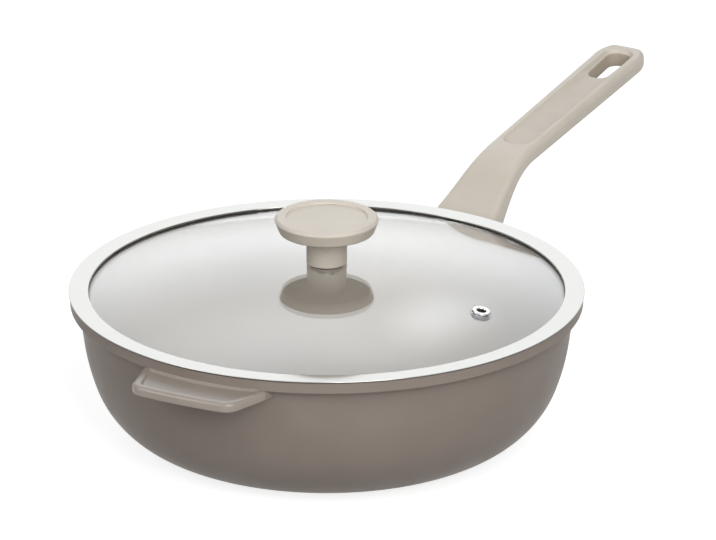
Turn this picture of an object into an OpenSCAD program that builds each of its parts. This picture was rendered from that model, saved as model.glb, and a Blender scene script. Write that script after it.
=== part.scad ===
// Lidded pan of 28 cm: cast body with a helper tab, long moulded handle, domed glass lid.
// Units are millimetres. The origin is the middle of the base's underside and +Z is up.
// The long handle points along +X and the helper tab along -X.

/* [Pan body] */
// Radius of the mouth, inside the rim
mouth_r = 138; // [120:1:160]
// Height of the rim above the table
pan_h = 87; // [78:1:105]
// Thickness of the side wall
wall_t = 3.2; // [2.6:0.1:4]
// Thickness of the floor
floor_t = 5; // [4:0.1:7]
// Radius of the bend from the base into the side
bend_r = 53; // [44:1:56]
// Slope of the side where that bend ends, from the table
bend_angle = 70; // [64:1:74]
// Radius of the long curve above the bend
side_r = 125; // [90:1:150]
// Slope of the straight wall under the collar, from the table
wall_angle = 82; // [78:1:85]
// Metal between the mouth and the wall's outside, under the collar
neck_t = 2.4; // [2:0.1:3.4]
// Width of the collar from the mouth outwards
collar_w = 7.2; // [6:0.1:9]
// Height of the collar
collar_h = 6.7; // [6.4:0.1:9]
// Rounding of the collar's edges
collar_edge = 0.8; // [0.4:0.1:1.2]
// Hollow rounding where the collar meets the wall
collar_fillet = 1.2; // [0.6:0.1:1.6]
// Thickness of the ceramic lining
lining_t = 0.3; // [0.2:0.05:0.3]

/* [Base plate] */
// Radius of the steel plate in the base
plate_r = 74; // [60:1:78]
// Thickness of that plate
plate_t = 0.6; // [0.5:0.1:1]
// Radius of each hole in the plate, filled by the base's metal
plate_hole_r = 2.5; // [2:0.1:3.5]
// Distance from one ring of holes to the next
plate_pitch = 14; // [12:1:20]

/* [Helper tab] */
// How far the tab stands out from the collar
tab_reach = 24.5; // [18:0.5:32]
// Half width of the tab where it leaves the collar
tab_root_half = 43.5; // [36:0.5:50]
// Half width of the tab at its outer edge
tab_tip_half = 33; // [28:0.5:36]
// Thickness of the tab
tab_t = 5.6; // [4.5:0.1:7]
// Radius of the tab's two outer corners, seen from above
tab_corner_r = 9; // [6:0.5:12]
// Rounding of the tab's edges
tab_edge = 1.6; // [1:0.1:2]
// Width of the raised border round the tab's tray
tab_border = 4.6; // [3:0.1:6]
// Depth of the tray in the tab's top
tray_depth = 1.4; // [0.8:0.1:2.4]

/* [Long handle] */
// Slope of the handle where it leaves the pan
root_slope = 32; // [26:1:38]
// Slope of the grip
grip_slope = 6.2; // [3:0.1:12]
// Length of the straight root
root_len = 52; // [48:1:60]
// Length of the straight grip, to the tip
grip_len = 143; // [130:1:170]
// Radius of the bend between root and grip
handle_bend_r = 78; // [50:1:90]
// Width of the handle at its root
root_w = 47.6; // [42:0.2:54]
// Thickness of the handle at its root
root_t = 22.2; // [22:0.1:25]
// Width of the grip behind the bend
grip_w = 26.2; // [25:0.1:30]
// Thickness of the grip
grip_t = 10.6; // [10:0.1:13]
// Extra width of the grip at its tip
tip_gain = 4.2; // [2:0.1:6]
// Length over which the tip is rounded, seen from above
tip_round = 16; // [12:0.5:20]
// How much that rounding takes off each side
tip_side = 12; // [9:0.5:12.5]
// Rounding of the handle's upper edges
top_edge = 3.4; // [2:0.1:4]
// Rounding of the handle's lower edges
low_edge = 4.6; // [3:0.1:4.8]
// Half width of the scoop in the grip's top
scoop_half = 9.4; // [8.5:0.1:10.5]
// Depth of the scoop
scoop_depth = 2.2; // [1:0.1:3]
// Length of the scoop
scoop_len = 137; // [110:1:138]
// Length of the slot that hangs the pan
slot_len = 34; // [28:1:40]
// Half width of that slot at its outer end
slot_half = 7.2; // [6:0.1:8]
// How much narrower each side of the slot is at its inner end
slot_taper = 1.2; // [0:0.1:1.5]
// Metal or plastic between the slot and the handle's tip
slot_to_tip = 9.5; // [8:0.1:14]

/* [Handle joint] */
// Length of the cast tongue inside the handle
tongue_len = 34; // [28:1:40]
// Width of the tongue
tongue_w = 24; // [18:1:26]
// Thickness of the tongue
tongue_t = 8; // [6:0.5:8.5]
// Play between the tongue and its socket
tongue_play = 0.15; // [0.1:0.05:0.25]
// Distance of the handle screw from the handle's end
handle_screw_at = 16; // [13:1:20]
// Radius of the screws' threads, in the handle and the knob
screw_r = 2.5; // [2:0.1:2.6]
// Radius of the screws' heads
screw_head_r = 4.6; // [4.2:0.1:4.8]
// Height of the screws' heads
screw_head_h = 2.4; // [2:0.1:2.8]

/* [Lid] */
// Play between the lid's skirt and the mouth
lid_play = 0.6; // [0.6:0.1:1.2]
// Thickness of the glass
glass_t = 4; // [3:0.1:4.2]
// Radius of the glass dome
dome_r = 515; // [400:5:700]
// Thickness of the lid ring's rolled sheet
ring_sheet = 0.5; // [0.4:0.05:0.6]
// Thickness of the ring's flat flange
ring_t = 1; // [0.9:0.1:1.2]
// How far the flange stands out past the collar
ring_over = 0.8; // [0.4:0.1:1.5]
// How far the ring covers the glass
ring_grip = 1.7; // [1.4:0.1:3]
// Room for silicone round the edge of the glass
bead_t = 0.3; // [0.2:0.05:0.5]
// Height of the flange's inner lip above the glass
lip_h = 1.6; // [1.2:0.1:2]

/* [Knob] */
// Radius of the knob's stem
stem_r = 11.5; // [10:0.1:14]
// Height of the knob's stem, from the glass to the disc
stem_h = 18.5; // [14:0.5:24]
// Radius of the disc's underside
disc_low_r = 26.9; // [24:0.1:29]
// Greatest radius of the disc
disc_r = 29.6; // [29:0.1:34]
// Thickness of the disc
disc_t = 8.8; // [7:0.1:11]
// Radius of the round dish in the disc's top
dish_r = 23.2; // [18:0.1:25]
// Depth of that dish
dish_depth = 1; // [0.6:0.1:2]
// Radius of the brass insert in the stem
insert_r = 4.5; // [3.8:0.1:5.5]
// Length of the brass insert
insert_len = 12; // [10:0.5:15]
// Thickness of the silicone washer let into the stem's foot
seat_t = 1.2; // [0.8:0.1:1.6]
// Gap between the stem's foot and the glass
foot_gap = 0.3; // [0.2:0.1:0.6]
// Radius of the hole for the knob screw in the glass
glass_hole_r = 3.8; // [3.6:0.1:4.5]
// Radius of the silicone gasket under the glass
gasket_r = 9; // [8:0.5:11]
// Thickness of that gasket
gasket_t = 1.5; // [1:0.1:2]
// Radius of the steel washer under the gasket
washer_r = 7.5; // [6.5:0.1:7.9]
// Thickness of the steel washers
washer_t = 0.8; // [0.6:0.1:1]

/* [Steam vent] */
// Distance of the vent from the ring's inner edge
vent_from_ring = 33.4; // [28:0.2:75]
// Direction of the vent from the handle, clockwise seen from above
vent_turn = 92; // [0:1:180]
// Radius of the vent's hole
vent_r = 2.6; // [2:0.1:2.8]
// Radius of the eyelet's flanges
vent_flange_r = 5.35; // [5.2:0.05:7]
// Thickness of the eyelet's flanges
vent_flange_t = 0.9; // [0.6:0.1:1.2]
// Wall of the eyelet's barrel
vent_wall = 0.8; // [0.5:0.1:0.9]
// Play between the barrel and the glass
vent_play = 0.2; // [0.1:0.05:0.3]
// Thickness of the silicone ring under the glass
vent_gasket_t = 1; // [0.6:0.1:1.5]

/* [Hidden] */
$fn = 96;

// How far a cut runs past the face that it opens
over = 1;
// Steps in each long curve and in each small rounding
curve_steps = 14;
round_steps = 5;

// The pan's outside, from the collar down to the flat of the base
collar_z = pan_h - collar_h;
collar_r = mouth_r + collar_w;
wall_top_r = mouth_r + neck_t;
bend_top_z = bend_r * (1 - cos(bend_angle));
side_top_z = bend_top_z + side_r * (cos(bend_angle) - cos(wall_angle));
wall_low_r = wall_top_r - (collar_z - side_top_z) / tan(wall_angle);
bend_top_r = wall_low_r - side_r * (sin(wall_angle) - sin(bend_angle));
base_r = bend_top_r - bend_r * sin(bend_angle);
side_centre = [bend_top_r - side_r * sin(bend_angle), bend_top_z + side_r * cos(bend_angle)];

// The glass, whose dome is set by the height of the ring's inner lip
ring_out_r = collar_r + ring_over;
ring_top = pan_h + ring_t;
skirt_r = mouth_r - lid_play;
channel_r = skirt_r - ring_sheet;
glass_r = channel_r - bead_t;
ring_in_r = glass_r - ring_grip;
dome_z = ring_top - lip_h - sqrt(dome_r * dome_r - ring_in_r * ring_in_r);
apex_z = dome_z + dome_r;
inner_dome_r = dome_r - glass_t;
// Thickness and rounding of the ring's inner lip
lip_t = 0.6;
lip_round = 0.45;
skirt_low = glass_low(glass_r) - bead_t - ring_sheet;
mouth_depth = pan_h - skirt_low + lid_play;

// The knob's stack of fastenings, from the glass up and down
seat_r = stem_r - 2 * seat_t;
stem_low = apex_z + foot_gap;
seat_top = apex_z + seat_t;
disc_low = apex_z + stem_h;
disc_top = disc_low + disc_t;
gasket_top = glass_low(gasket_r) - foot_gap;
gasket_low = gasket_top - gasket_t;
washer_low = gasket_low - washer_t;
// Radial play of a screw in its thread, and of the knob screw in soft rings and its washer
screw_play = 0.05;
hole_play = 0.4;
// Brass left past the end of the insert's bore
insert_end = 1;
// Share of the glass's thickness that the gasket's sleeve fills
sleeve_share = 0.75;
// Height of the disc's widest line as a share of its thickness
widest_share = 0.83;
// Roundings of the knob's fine and broad edges
foot_edge = 0.6;
knob_edge = 1.2;
// The cross in a screw's head
cross_len = screw_head_r;
cross_w = screw_head_h / 3;
cross_deep = screw_head_h / 2;

// The steam vent, square to the dome
vent_at = ring_in_r - vent_from_ring;
vent_tilt = asin(vent_at / dome_r);
vent_barrel_r = vent_r + vent_wall;
vent_hole_r = vent_barrel_r + vent_play;
// How far the dome falls away under a flat ring
dome_bow = 0.1;

// How far the tray's sides stand in from the tab's at the collar
tray_side = 6.4;
// Radius of the tab's hollow root corners, how far they lie under the collar's edge, and the
// angle that they run on along it
tab_root_r = 3;
tab_hide = 0.6;
tab_root_turn = 1.6;
// How far the tab's top stands above the collar's underside
tab_rise = 0.5;

// The handle's course and its shape along it
root_point = [collar_r + ring_over, side_top_z];
handle_bend = root_slope - grip_slope;
bend_len = handle_bend_r * handle_bend * PI / 180;
handle_len = root_len + bend_len + grip_len;
flare_len = root_len + bend_len;
// How quickly the root's extra width and thickness fade
width_share = 1.6;
depth_share = 1.8;
// Rounding of the tip, seen from the side
tip_edge = 4;
// Largest rounding that a flat side can take, as a share of its half
edge_share = 0.92;
// How far the pad stands in from the handle's end, and how deep its foot runs into the wall
pad_edge = 0.8;
pad_sink = 30;
// Steps along the handle's straight and bent parts, its tip and its scoop
handle_steps = 8;
tip_steps = 10;
scoop_steps = 6;
// Rounding of the slot's corners
slot_corner = slot_half - slot_taper - over / 2;
slot_at = handle_len - slot_to_tip - slot_len / 2;
scoop_end = handle_len - slot_to_tip + scoop_half - slot_half;
scoop_start = scoop_end - scoop_len;
// Rounding of the scoop's corners, and how far its sides slope in
scoop_corner = 7.5;
scoop_draft = 1.4;
// Rounding of the tongue's corners
tongue_corner = 3;
// Play of the handle screw in the handle, and of its washer in the counterbore
bore_play = 0.3;
head_play = 0.5;
// How far the handle screw's washer stands out past the head
washer_edge = 0.5;
// Handle left between the tongue's socket and the washer's seat
seat_under = 1.8;
// How far a screw stops short of the end of its thread
screw_short = 1;

function unit(v) = v / norm(v);
function mix(a, b, share) = a + (b - a) * share;
function direction(angle) = [cos(angle), sin(angle)];

// Points of an arc about a centre, with angles counted from straight down
function arc(centre, r, from, to, steps = curve_steps) =
    [for (i = [0:steps]) let (a = mix(from, to, i / steps)) centre + r * [sin(a), -cos(a)]];

// Points that round the corner b between its neighbours a and c
function corner(a, b, c, r, steps = round_steps) =
    let (u = unit(a - b), v = unit(c - b), half = acos(u * v) / 2,
         centre = b + unit(u + v) * r / sin(half),
         first = b + u * r / tan(half) - centre,
         last = b + v * r / tan(half) - centre,
         start = atan2(first.y, first.x),
         turn = (atan2(last.y, last.x) - start + 540) % 360 - 180)
    [for (i = [0:steps]) centre + r * direction(start + turn * i / steps)];

// A closed outline with each corner rounded by its own radius
function rounded(points, radii) =
    let (n = len(points))
    [for (i = [0:n - 1]) each corner(points[(i + n - 1) % n], points[i], points[(i + 1) % n], radii[i])];

// A solid through rings of points that all have the same even count. Strips close its ends,
// each joining the outline's two halves, so that an outline can have hollow corners
module loft(rings) {
    n = len(rings[0]);
    last = len(rings) - 1;
    sides = [for (i = [0:last - 1], j = [0:n - 1])
        let (a = i * n + j, b = i * n + (j + 1) % n)
        each [[a, b + n, b], [a, a + n, b + n]]];
    ends = [for (i = [0:n / 2 - 2])
        let (strip = [i, i + 1, n - 2 - i, n - 1 - i])
        each [strip, [for (k = [3:-1:0]) last * n + strip[k]]]];
    polyhedron(points = [for (ring = rings) each ring], faces = concat(sides, ends));
}

// A flat ring or disc, standing on z
module disc(z, h, r, hole = 0) {
    translate([0, 0, z])
        difference() {
            cylinder(h = h, r = r);
            if (hole > 0) {
                translate([0, 0, -over]) cylinder(h = h + 2 * over, r = hole);
            }
        }
}

// Heights of the glass's two faces at a distance from the middle
function glass_high(r) = dome_z + sqrt(dome_r * dome_r - r * r);
function glass_low(r) = dome_z + sqrt(inner_dome_r * inner_dome_r - r * r);

// Radius of the wall's inside, at depth t in from its outside, on the straight part
function wall_in(z, t) =
    wall_top_r - t * sin(wall_angle) + (z - collar_z - t * cos(wall_angle)) / tan(wall_angle);

// The pan's hollow, or with a skin the hollow inside that skin
function hollow(skin = 0) =
    let (wall = wall_t + skin, low = floor_t + skin, mouth = mouth_r - skin,
         end = [bend_top_r - wall * sin(bend_angle), bend_top_z + wall * cos(bend_angle)],
         r = (end.y - low) / (1 - cos(bend_angle)),
         ledge = pan_h - mouth_depth,
         step = mouth - wall_in(ledge, wall))
    concat([[0, low]],
           arc([end.x - r * sin(bend_angle), low + r], r, 0, bend_angle),
           [for (p = arc(side_centre, side_r - wall, bend_angle, wall_angle, round_steps)) if (p.x > end.x) p],
           [[wall_in(ledge - step, wall), ledge - step], [mouth, ledge]]);

module pan_outside() {
    top = [wall_low_r, side_top_z];
    root = [wall_top_r, collar_z];
    low = [collar_r, collar_z];
    high = [collar_r, pan_h];
    middle = [0, pan_h];
    rotate_extrude()
        polygon(concat([[0, 0]],
                       arc([base_r, bend_r], bend_r, 0, bend_angle),
                       [for (p = arc(side_centre, side_r, bend_angle, wall_angle, round_steps))
                           if (p.x > bend_top_r) p],
                       corner(top, root, low, collar_fillet),
                       corner(root, low, high, collar_edge),
                       corner(low, high, middle, collar_edge),
                       [middle]));
}

module pan_hollow() {
    rotate_extrude()
        polygon(concat(hollow(),
                       [[mouth_r, pan_h - collar_edge], [mouth_r + collar_edge, pan_h],
                        [mouth_r + collar_edge, pan_h + over], [0, pan_h + over]]));
}

// The perforated plate, whose holes leave pips of the base's metal
module plate_shape() {
    rings = floor((plate_r - plate_pitch) / plate_pitch);
    difference() {
        cylinder(h = plate_t, r = plate_r);
        for (k = [1:rings]) {
            ring_r = k * plate_pitch + plate_hole_r;
            count = floor(2 * PI * ring_r / plate_pitch);
            for (i = [0:count - 1])
                rotate(360 * i / count)
                    translate([ring_r, 0, -over])
                        cylinder(h = plate_t + 2 * over, r = plate_hole_r, $fn = 24);
        }
    }
}

// Where a line from b towards a meets a circle about the middle
function meet(a, b, r) =
    let (d = a - b, u = d * d, v = b * d, w = b * b - r * r)
    b + d * (-v - sqrt(v * v - u * w)) / u;

// Tip of the tab, and where its side meets the collar's edge
function tab_tip(inset) = [-(collar_r + tab_reach) + inset, tab_tip_half - inset];
function tab_root(inset) = meet([-mouth_r, tab_root_half - inset], tab_tip(inset), collar_r - tab_hide - inset);

// Outline of the helper tab, drawn in from its three free sides. Its sides run to just
// under the collar's edge, turn along it through hollow corners and end inside the wall
function tab_outline(inset) =
    let (tip = tab_tip(inset), root = tab_root(inset), outer = tab_root(0),
         turned = atan2(outer.y, -outer.x) + tab_root_turn, out = [-cos(turned), sin(turned)],
         half = concat([mouth_r * out, norm(root) * out],
                       corner(norm(root) * out, root, tip, tab_root_r + inset),
                       corner(root, tip, [tip.x, 0], tab_corner_r - inset)))
    concat(half, [for (i = [len(half) - 1:-1:0]) [half[i].x, -half[i].y]]);

function at_height(outline, z) = [for (p = outline) [p.x, p.y, z]];

// Outline of the tray in the tab's top, wider upwards
function tray_outline(inset) =
    let (x = -(collar_r + tab_reach - tab_border) + inset, root = -(collar_r + over) - inset,
         tip = tab_tip_half - tab_border - inset,
         wide = tab_root_half - tray_side - inset, r = tab_corner_r - tab_border)
    rounded([[root, wide], [x, tip], [x, -tip], [root, -wide]], [r / 2, r, r, r / 2]);

module helper_tab() {
    high = collar_z + tab_rise;
    low = high - tab_t;
    turns = [0:22.5:90];
    difference() {
        loft(concat([for (a = turns) at_height(tab_outline(tab_edge * (1 - sin(a))), low + tab_edge * (1 - cos(a)))],
                    [for (a = turns) at_height(tab_outline(tab_edge * (1 - cos(a))), high - tab_edge * (1 - sin(a)))]));
        loft([at_height(tray_outline(tray_depth), high - tray_depth),
              at_height(tray_outline(0), high),
              at_height(tray_outline(0), high + over)]);
    }
}

// Slope and place of the handle's middle line, by length from its end at the pan
function handle_slope(s) =
    mix(root_slope, grip_slope, min(max((s - root_len) / bend_len, 0), 1));

function handle_point(s) =
    let (turned = handle_slope(s),
         bend_start = root_point + root_len * direction(root_slope),
         centre = bend_start + handle_bend_r * [sin(root_slope), -cos(root_slope)])
    s <= root_len
        ? root_point + s * direction(root_slope)
        : centre + handle_bend_r * [-sin(turned), cos(turned)]
            + max(s - root_len - bend_len, 0) * direction(grip_slope);

// What an elliptical rounding takes off a side at a distance from the end
function end_cut(distance, along, side) =
    distance >= along ? 0 : side * (1 - sqrt(1 - pow(1 - distance / along, 2)));

function flare(s, share) = pow(1 - min(max(s / flare_len, 0), 1), share);

function handle_half(s) =
    (grip_w + tip_gain * s / handle_len + (root_w - grip_w) * flare(s, width_share)) / 2
        - end_cut(handle_len - s, tip_round, tip_side);

function handle_depth(s) =
    grip_t + (root_t - grip_t) * flare(s, depth_share) - 2 * end_cut(handle_len - s, tip_edge, tip_edge);

// Points across and up at a place along the handle, set into the pan's frame
function across(points, s) =
    let (place = handle_point(s), a = handle_slope(s))
    [for (p = points) [place.x - p.y * sin(a), p.x, place.y + p.y * cos(a)]];

function handle_section(s, inset = 0) =
    let (half = handle_half(s) - inset, up = handle_depth(s) / 2 - inset,
         top = min(top_edge, up * edge_share), low = min(low_edge, up * edge_share))
    rounded([[-half, -up], [half, -up], [half, up], [-half, up]], [low, low, top, top]);

function scoop_section(s) =
    let (half = scoop_half - end_cut(min(s - scoop_start, scoop_end - s), scoop_corner, scoop_corner),
         top = handle_depth(scoop_start) / 2, deep = top - scoop_depth, floor_half = half - scoop_draft,
         round = min(scoop_draft, floor_half * edge_share),
         a = [half, top + over], b = [floor_half, deep], c = [-floor_half, deep], d = [-half, top + over])
    concat([a, d], corner(d, c, b, round), corner(c, b, a, round));

module along_root() {
    translate([root_point.x, 0, root_point.y]) rotate([0, -root_slope, 0]) children();
}

// Outline of the tongue seen square to it, grown all round for its socket
function tongue_outline(grow) =
    let (half = tongue_w / 2 + grow, end = tongue_len + grow)
    concat([[-pad_sink, -half]],
           corner([-pad_sink, -half], [end, -half], [end, half], tongue_corner),
           corner([end, -half], [end, half], [-pad_sink, half], tongue_corner),
           [[-pad_sink, half]]);

module tongue(grow = 0) {
    along_root()
        translate([0, 0, -tongue_t / 2 - grow])
            linear_extrude(tongue_t + 2 * grow) polygon(tongue_outline(grow));
}

// The cast pad that the handle's end stands on, run back into the wall
module handle_pad() {
    end = handle_section(0, pad_edge);
    loft([across(end, -pad_sink), across(end, 0)]);
}

module pan_body() {
    color([0.47, 0.44, 0.41])
        difference() {
            union() {
                pan_outside();
                helper_tab();
                handle_pad();
                tongue();
            }
            pan_hollow();
            plate_shape();
            along_root()
                translate([handle_screw_at, 0, -tongue_t / 2 - over])
                    cylinder(h = tongue_t + 2 * over, r = screw_r);
        }
}

module ceramic_lining() {
    outer = hollow();
    inner = hollow(lining_t);
    color([0.64, 0.61, 0.57])
        rotate_extrude()
            polygon(concat(outer, [[mouth_r, pan_h - collar_edge], [mouth_r - lining_t, pan_h - collar_edge]],
                           [for (i = [len(inner) - 1:-1:0]) inner[i]]));
}

module induction_plate() {
    color([0.72, 0.73, 0.74]) plate_shape();
}

// Stations along the handle, close together in the bend and at the tip
function stations() =
    concat([for (i = [0:handle_steps]) root_len * i / handle_steps],
           [for (i = [1:handle_steps]) root_len + bend_len * i / handle_steps],
           [root_len + bend_len + grip_len / 2],
           [for (i = [0:tip_steps]) handle_len - tip_round * (1 - sin(90 * i / tip_steps))]);

function scoop_stations() =
    let (n = scoop_steps)
    concat([for (i = [n:-1:0]) scoop_start + scoop_corner * (1 - sin(90 * i / n))],
           [for (i = [1:n]) mix(scoop_start + scoop_corner, scoop_end - scoop_corner, i / (n + 1))],
           [for (i = [0:n]) scoop_end - scoop_corner * (1 - sin(90 * i / n))]);

// Distance of the handle screw's seat below the handle's middle line
function screw_seat() = tongue_t / 2 + tongue_play + seat_under;

module main_handle() {
    place = handle_point(slot_at);
    half = slot_len / 2;
    inner = slot_half - slot_taper;
    color([0.80, 0.77, 0.73])
        difference() {
            loft([for (s = stations()) across(handle_section(s), s)]);
            loft([for (s = scoop_stations()) across(scoop_section(s), s)]);
            translate([place.x, 0, place.y])
                rotate([0, -grip_slope, 0])
                    translate([0, 0, -grip_t])
                        linear_extrude(2 * grip_t)
                            polygon(rounded([[-half, -inner], [half, -slot_half], [half, slot_half], [-half, inner]],
                                            [for (i = [0:3]) slot_corner]));
            tongue(tongue_play);
            along_root()
                translate([handle_screw_at, 0, -root_t]) {
                    cylinder(h = root_t, r = screw_r + bore_play);
                    cylinder(h = root_t - screw_seat(), r = screw_head_r + washer_edge + head_play);
                }
        }
}

module handle_screw() {
    length = seat_under + tongue_play + tongue_t - screw_short;
    color([0.75, 0.76, 0.77])
        along_root()
            translate([handle_screw_at, 0, -screw_seat()])
                screw(washer_t, length);
}

// A screw pointing up, with its head's face at -gap and its thread reaching to +reach
module screw(gap, reach) {
    difference() {
        union() {
            translate([0, 0, -gap]) cylinder(h = gap + reach, r = screw_r - screw_play);
            translate([0, 0, -gap - screw_head_h]) cylinder(h = screw_head_h, r = screw_head_r);
        }
        for (turn = [0, 90])
            rotate(turn)
                translate([-cross_len / 2, -cross_w / 2, -gap - screw_head_h - over])
                    cube([cross_len, cross_w, cross_deep + over]);
    }
}

module handle_screw_washer() {
    color([0.72, 0.73, 0.74])
        along_root()
            translate([handle_screw_at, 0, 0])
                disc(-screw_seat() - washer_t, washer_t, screw_head_r + washer_edge, screw_r + bore_play);
}

// Turns what follows from straight up to square with the dome at the vent
module at_vent() {
    translate([0, 0, dome_z]) rotate([0, vent_tilt, -vent_turn]) translate([0, 0, dome_r]) children();
}

module lid_glass() {
    dome = concat([for (i = [0:curve_steps]) ring_in_r * i / curve_steps], [ring_in_r + lip_t, glass_r]);
    color([0.75, 0.78, 0.78, 0.35])
        difference() {
            rotate_extrude()
                polygon(concat([for (r = dome) [r, glass_low(r)]],
                               [for (i = [len(dome) - 1:-1:0]) [dome[i], glass_high(dome[i])]]));
            translate([0, 0, gasket_low]) cylinder(h = glass_t + gasket_t + over, r = glass_hole_r);
            at_vent() translate([0, 0, -glass_t - over]) cylinder(h = glass_t + 2 * over, r = vent_hole_r);
        }
}

// Section of the rolled ring: flange, inner lip on the glass, skirt and lower lip
module lid_ring() {
    in_low = [ring_in_r, ring_top - lip_h];
    in_high = [ring_in_r, ring_top];
    out_high = [ring_out_r, ring_top];
    out_low = [ring_out_r, pan_h];
    skirt = [skirt_r, pan_h];
    grip_r = ring_in_r;
    color([0.82, 0.82, 0.81])
        rotate_extrude($fn = 180)
            polygon(concat([in_low],
                           corner(in_low, in_high, out_high, lip_round),
                           corner(in_high, out_high, out_low, lip_round),
                           [out_low, skirt, [skirt_r, skirt_low],
                            [grip_r, glass_low(grip_r) - bead_t - ring_sheet],
                            [grip_r, glass_low(grip_r) - bead_t],
                            [channel_r, glass_low(channel_r) - bead_t],
                            [channel_r, ring_top - ring_sheet],
                            [ring_in_r + lip_t, ring_top - ring_sheet],
                            [ring_in_r + lip_t, ring_top - lip_h]]));
}

// Silicone that fills the ring's channel round the edge of the glass
module ring_bead() {
    lip = ring_in_r + lip_t;
    color([0.80, 0.79, 0.77])
        rotate_extrude($fn = 180)
            polygon([[lip, ring_top - ring_sheet], [channel_r, ring_top - ring_sheet],
                     [channel_r, glass_low(channel_r) - bead_t], [ring_in_r, glass_low(ring_in_r) - bead_t],
                     [ring_in_r, glass_low(ring_in_r)], [glass_r, glass_low(glass_r)],
                     [glass_r, glass_high(glass_r)], [lip, glass_high(lip)]]);
}

// The knob: a stem that spreads under a disc, with a shallow dish on top
module knob() {
    widest = mix(disc_low, disc_top, widest_share);
    stem_edge = [stem_r, stem_low];
    under = [stem_r, disc_low];
    low = [disc_low_r, disc_low];
    wide = [disc_r, widest];
    rim = [disc_r - (disc_top - widest), disc_top];
    dish = [dish_r, disc_top];
    dish_low = [dish_r - dish_depth / 2, disc_top - dish_depth];
    color([0.82, 0.79, 0.75])
        difference() {
            rotate_extrude()
                polygon(concat([[0, stem_low]],
                               corner([0, stem_low], stem_edge, under, foot_edge),
                               corner(stem_edge, under, low, knob_edge),
                               corner(under, low, wide, knob_edge),
                               corner(low, wide, rim, knob_edge),
                               corner(wide, rim, dish, foot_edge),
                               [dish, dish_low, [0, disc_top - dish_depth]]));
            translate([0, 0, seat_top - over]) cylinder(h = insert_len + over, r = insert_r);
            translate([0, 0, apex_z]) cylinder(h = seat_t, r = seat_r);
        }
}

module knob_insert() {
    color([0.80, 0.66, 0.34])
        difference() {
            disc(seat_top, insert_len, insert_r);
            translate([0, 0, seat_top - over]) cylinder(h = insert_len - insert_end + over, r = screw_r);
        }
}

module knob_seat_washer() {
    color([0.80, 0.79, 0.77]) disc(apex_z, seat_t, seat_r, screw_r + hole_play);
}

module lid_lower_gasket() {
    sleeve = glass_t * sleeve_share;
    color([0.80, 0.79, 0.77]) {
        difference() {
            union() {
                disc(gasket_low, gasket_t, gasket_r);
                disc(gasket_low, gasket_t + sleeve, glass_hole_r - hole_play / 2);
            }
            translate([0, 0, gasket_low - over])
                cylinder(h = gasket_t + sleeve + 2 * over, r = screw_r + hole_play);
        }
    }
}

module knob_screw_washer() {
    color([0.72, 0.73, 0.74]) disc(washer_low, washer_t, washer_r, screw_r + hole_play);
}

module knob_screw() {
    color([0.75, 0.76, 0.77])
        translate([0, 0, gasket_low])
            screw(washer_t, seat_top + insert_len - insert_end - screw_short - gasket_low);
}

module vent_eyelet() {
    lower = -glass_t - vent_gasket_t;
    color([0.85, 0.85, 0.86])
        at_vent()
            difference() {
                union() {
                    disc(lower, -lower, vent_barrel_r);
                    cylinder(h = vent_flange_t, r1 = vent_flange_r, r2 = vent_flange_r - vent_flange_t / 2);
                    translate([0, 0, lower - vent_flange_t])
                        cylinder(h = vent_flange_t, r1 = vent_flange_r - vent_flange_t / 2, r2 = vent_flange_r);
                }
                translate([0, 0, lower - vent_flange_t - over])
                    cylinder(h = -lower + 2 * vent_flange_t + 2 * over, r = vent_r);
            }
}

module vent_gasket() {
    color([0.80, 0.79, 0.77])
        at_vent()
            disc(-glass_t - vent_gasket_t, vent_gasket_t - dome_bow, vent_flange_r + vent_flange_t, vent_barrel_r);
}

pan_body();
ceramic_lining();
induction_plate();
main_handle();
handle_screw();
handle_screw_washer();
lid_glass();
lid_ring();
ring_bead();
knob();
knob_insert();
knob_seat_washer();
lid_lower_gasket();
knob_screw_washer();
knob_screw();
vent_eyelet();
vent_gasket();
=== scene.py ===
"""Looks of a deep frying pan with a domed glass lid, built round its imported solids.

Sizes are in millimetres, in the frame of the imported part: the origin is the middle of the
base's underside, +Z is up and the long handle points along +X. Meshes are written in metres.
"""

from __future__ import annotations

import logging
import math
from dataclasses import dataclass
from enum import Enum
from typing import Any, Sequence

import bmesh
import bpy
import numpy as np
from mathutils import Matrix, Vector

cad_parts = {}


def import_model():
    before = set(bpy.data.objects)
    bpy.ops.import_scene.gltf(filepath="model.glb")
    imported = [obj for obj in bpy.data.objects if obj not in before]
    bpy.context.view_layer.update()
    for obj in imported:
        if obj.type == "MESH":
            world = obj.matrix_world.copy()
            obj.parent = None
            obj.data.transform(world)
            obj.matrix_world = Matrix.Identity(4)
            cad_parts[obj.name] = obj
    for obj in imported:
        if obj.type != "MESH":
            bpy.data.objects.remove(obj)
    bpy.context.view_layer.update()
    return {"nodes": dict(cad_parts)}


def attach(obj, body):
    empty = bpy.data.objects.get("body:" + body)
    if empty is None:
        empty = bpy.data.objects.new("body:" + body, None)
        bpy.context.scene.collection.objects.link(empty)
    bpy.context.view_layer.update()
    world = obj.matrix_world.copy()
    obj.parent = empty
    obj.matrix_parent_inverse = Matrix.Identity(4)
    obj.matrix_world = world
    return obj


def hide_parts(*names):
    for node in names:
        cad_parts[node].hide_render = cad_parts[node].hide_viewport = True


LOG = logging.getLogger("pan")

Thing = bpy.types.Object
Tree = bpy.types.NodeTree
Socket = bpy.types.NodeSocket
Points = Sequence[Sequence[float]]

# Metres in a millimetre, and the picture's width in pixels
MM = 0.001
WIDTH_PX = 716
# Points less than this many metres apart are merged
MERGE_M = 1e-7
# Radii this many millimetres apart are the same
SAME_MM = 1e-6
# Edges that turn by more degrees than this stay sharp
SHARP_DEGREES = 42.0
# Steps round the pan and the lid, the knob, the vent, a tool inside the wall, the handle screw's
# seat, and small bores
TURNS_PAN, TURNS_KNOB, TURNS_VENT, TURNS_WALL = 320, 256, 96, 128
TURNS_SEAT, TURNS_BORE = 64, 48
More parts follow.
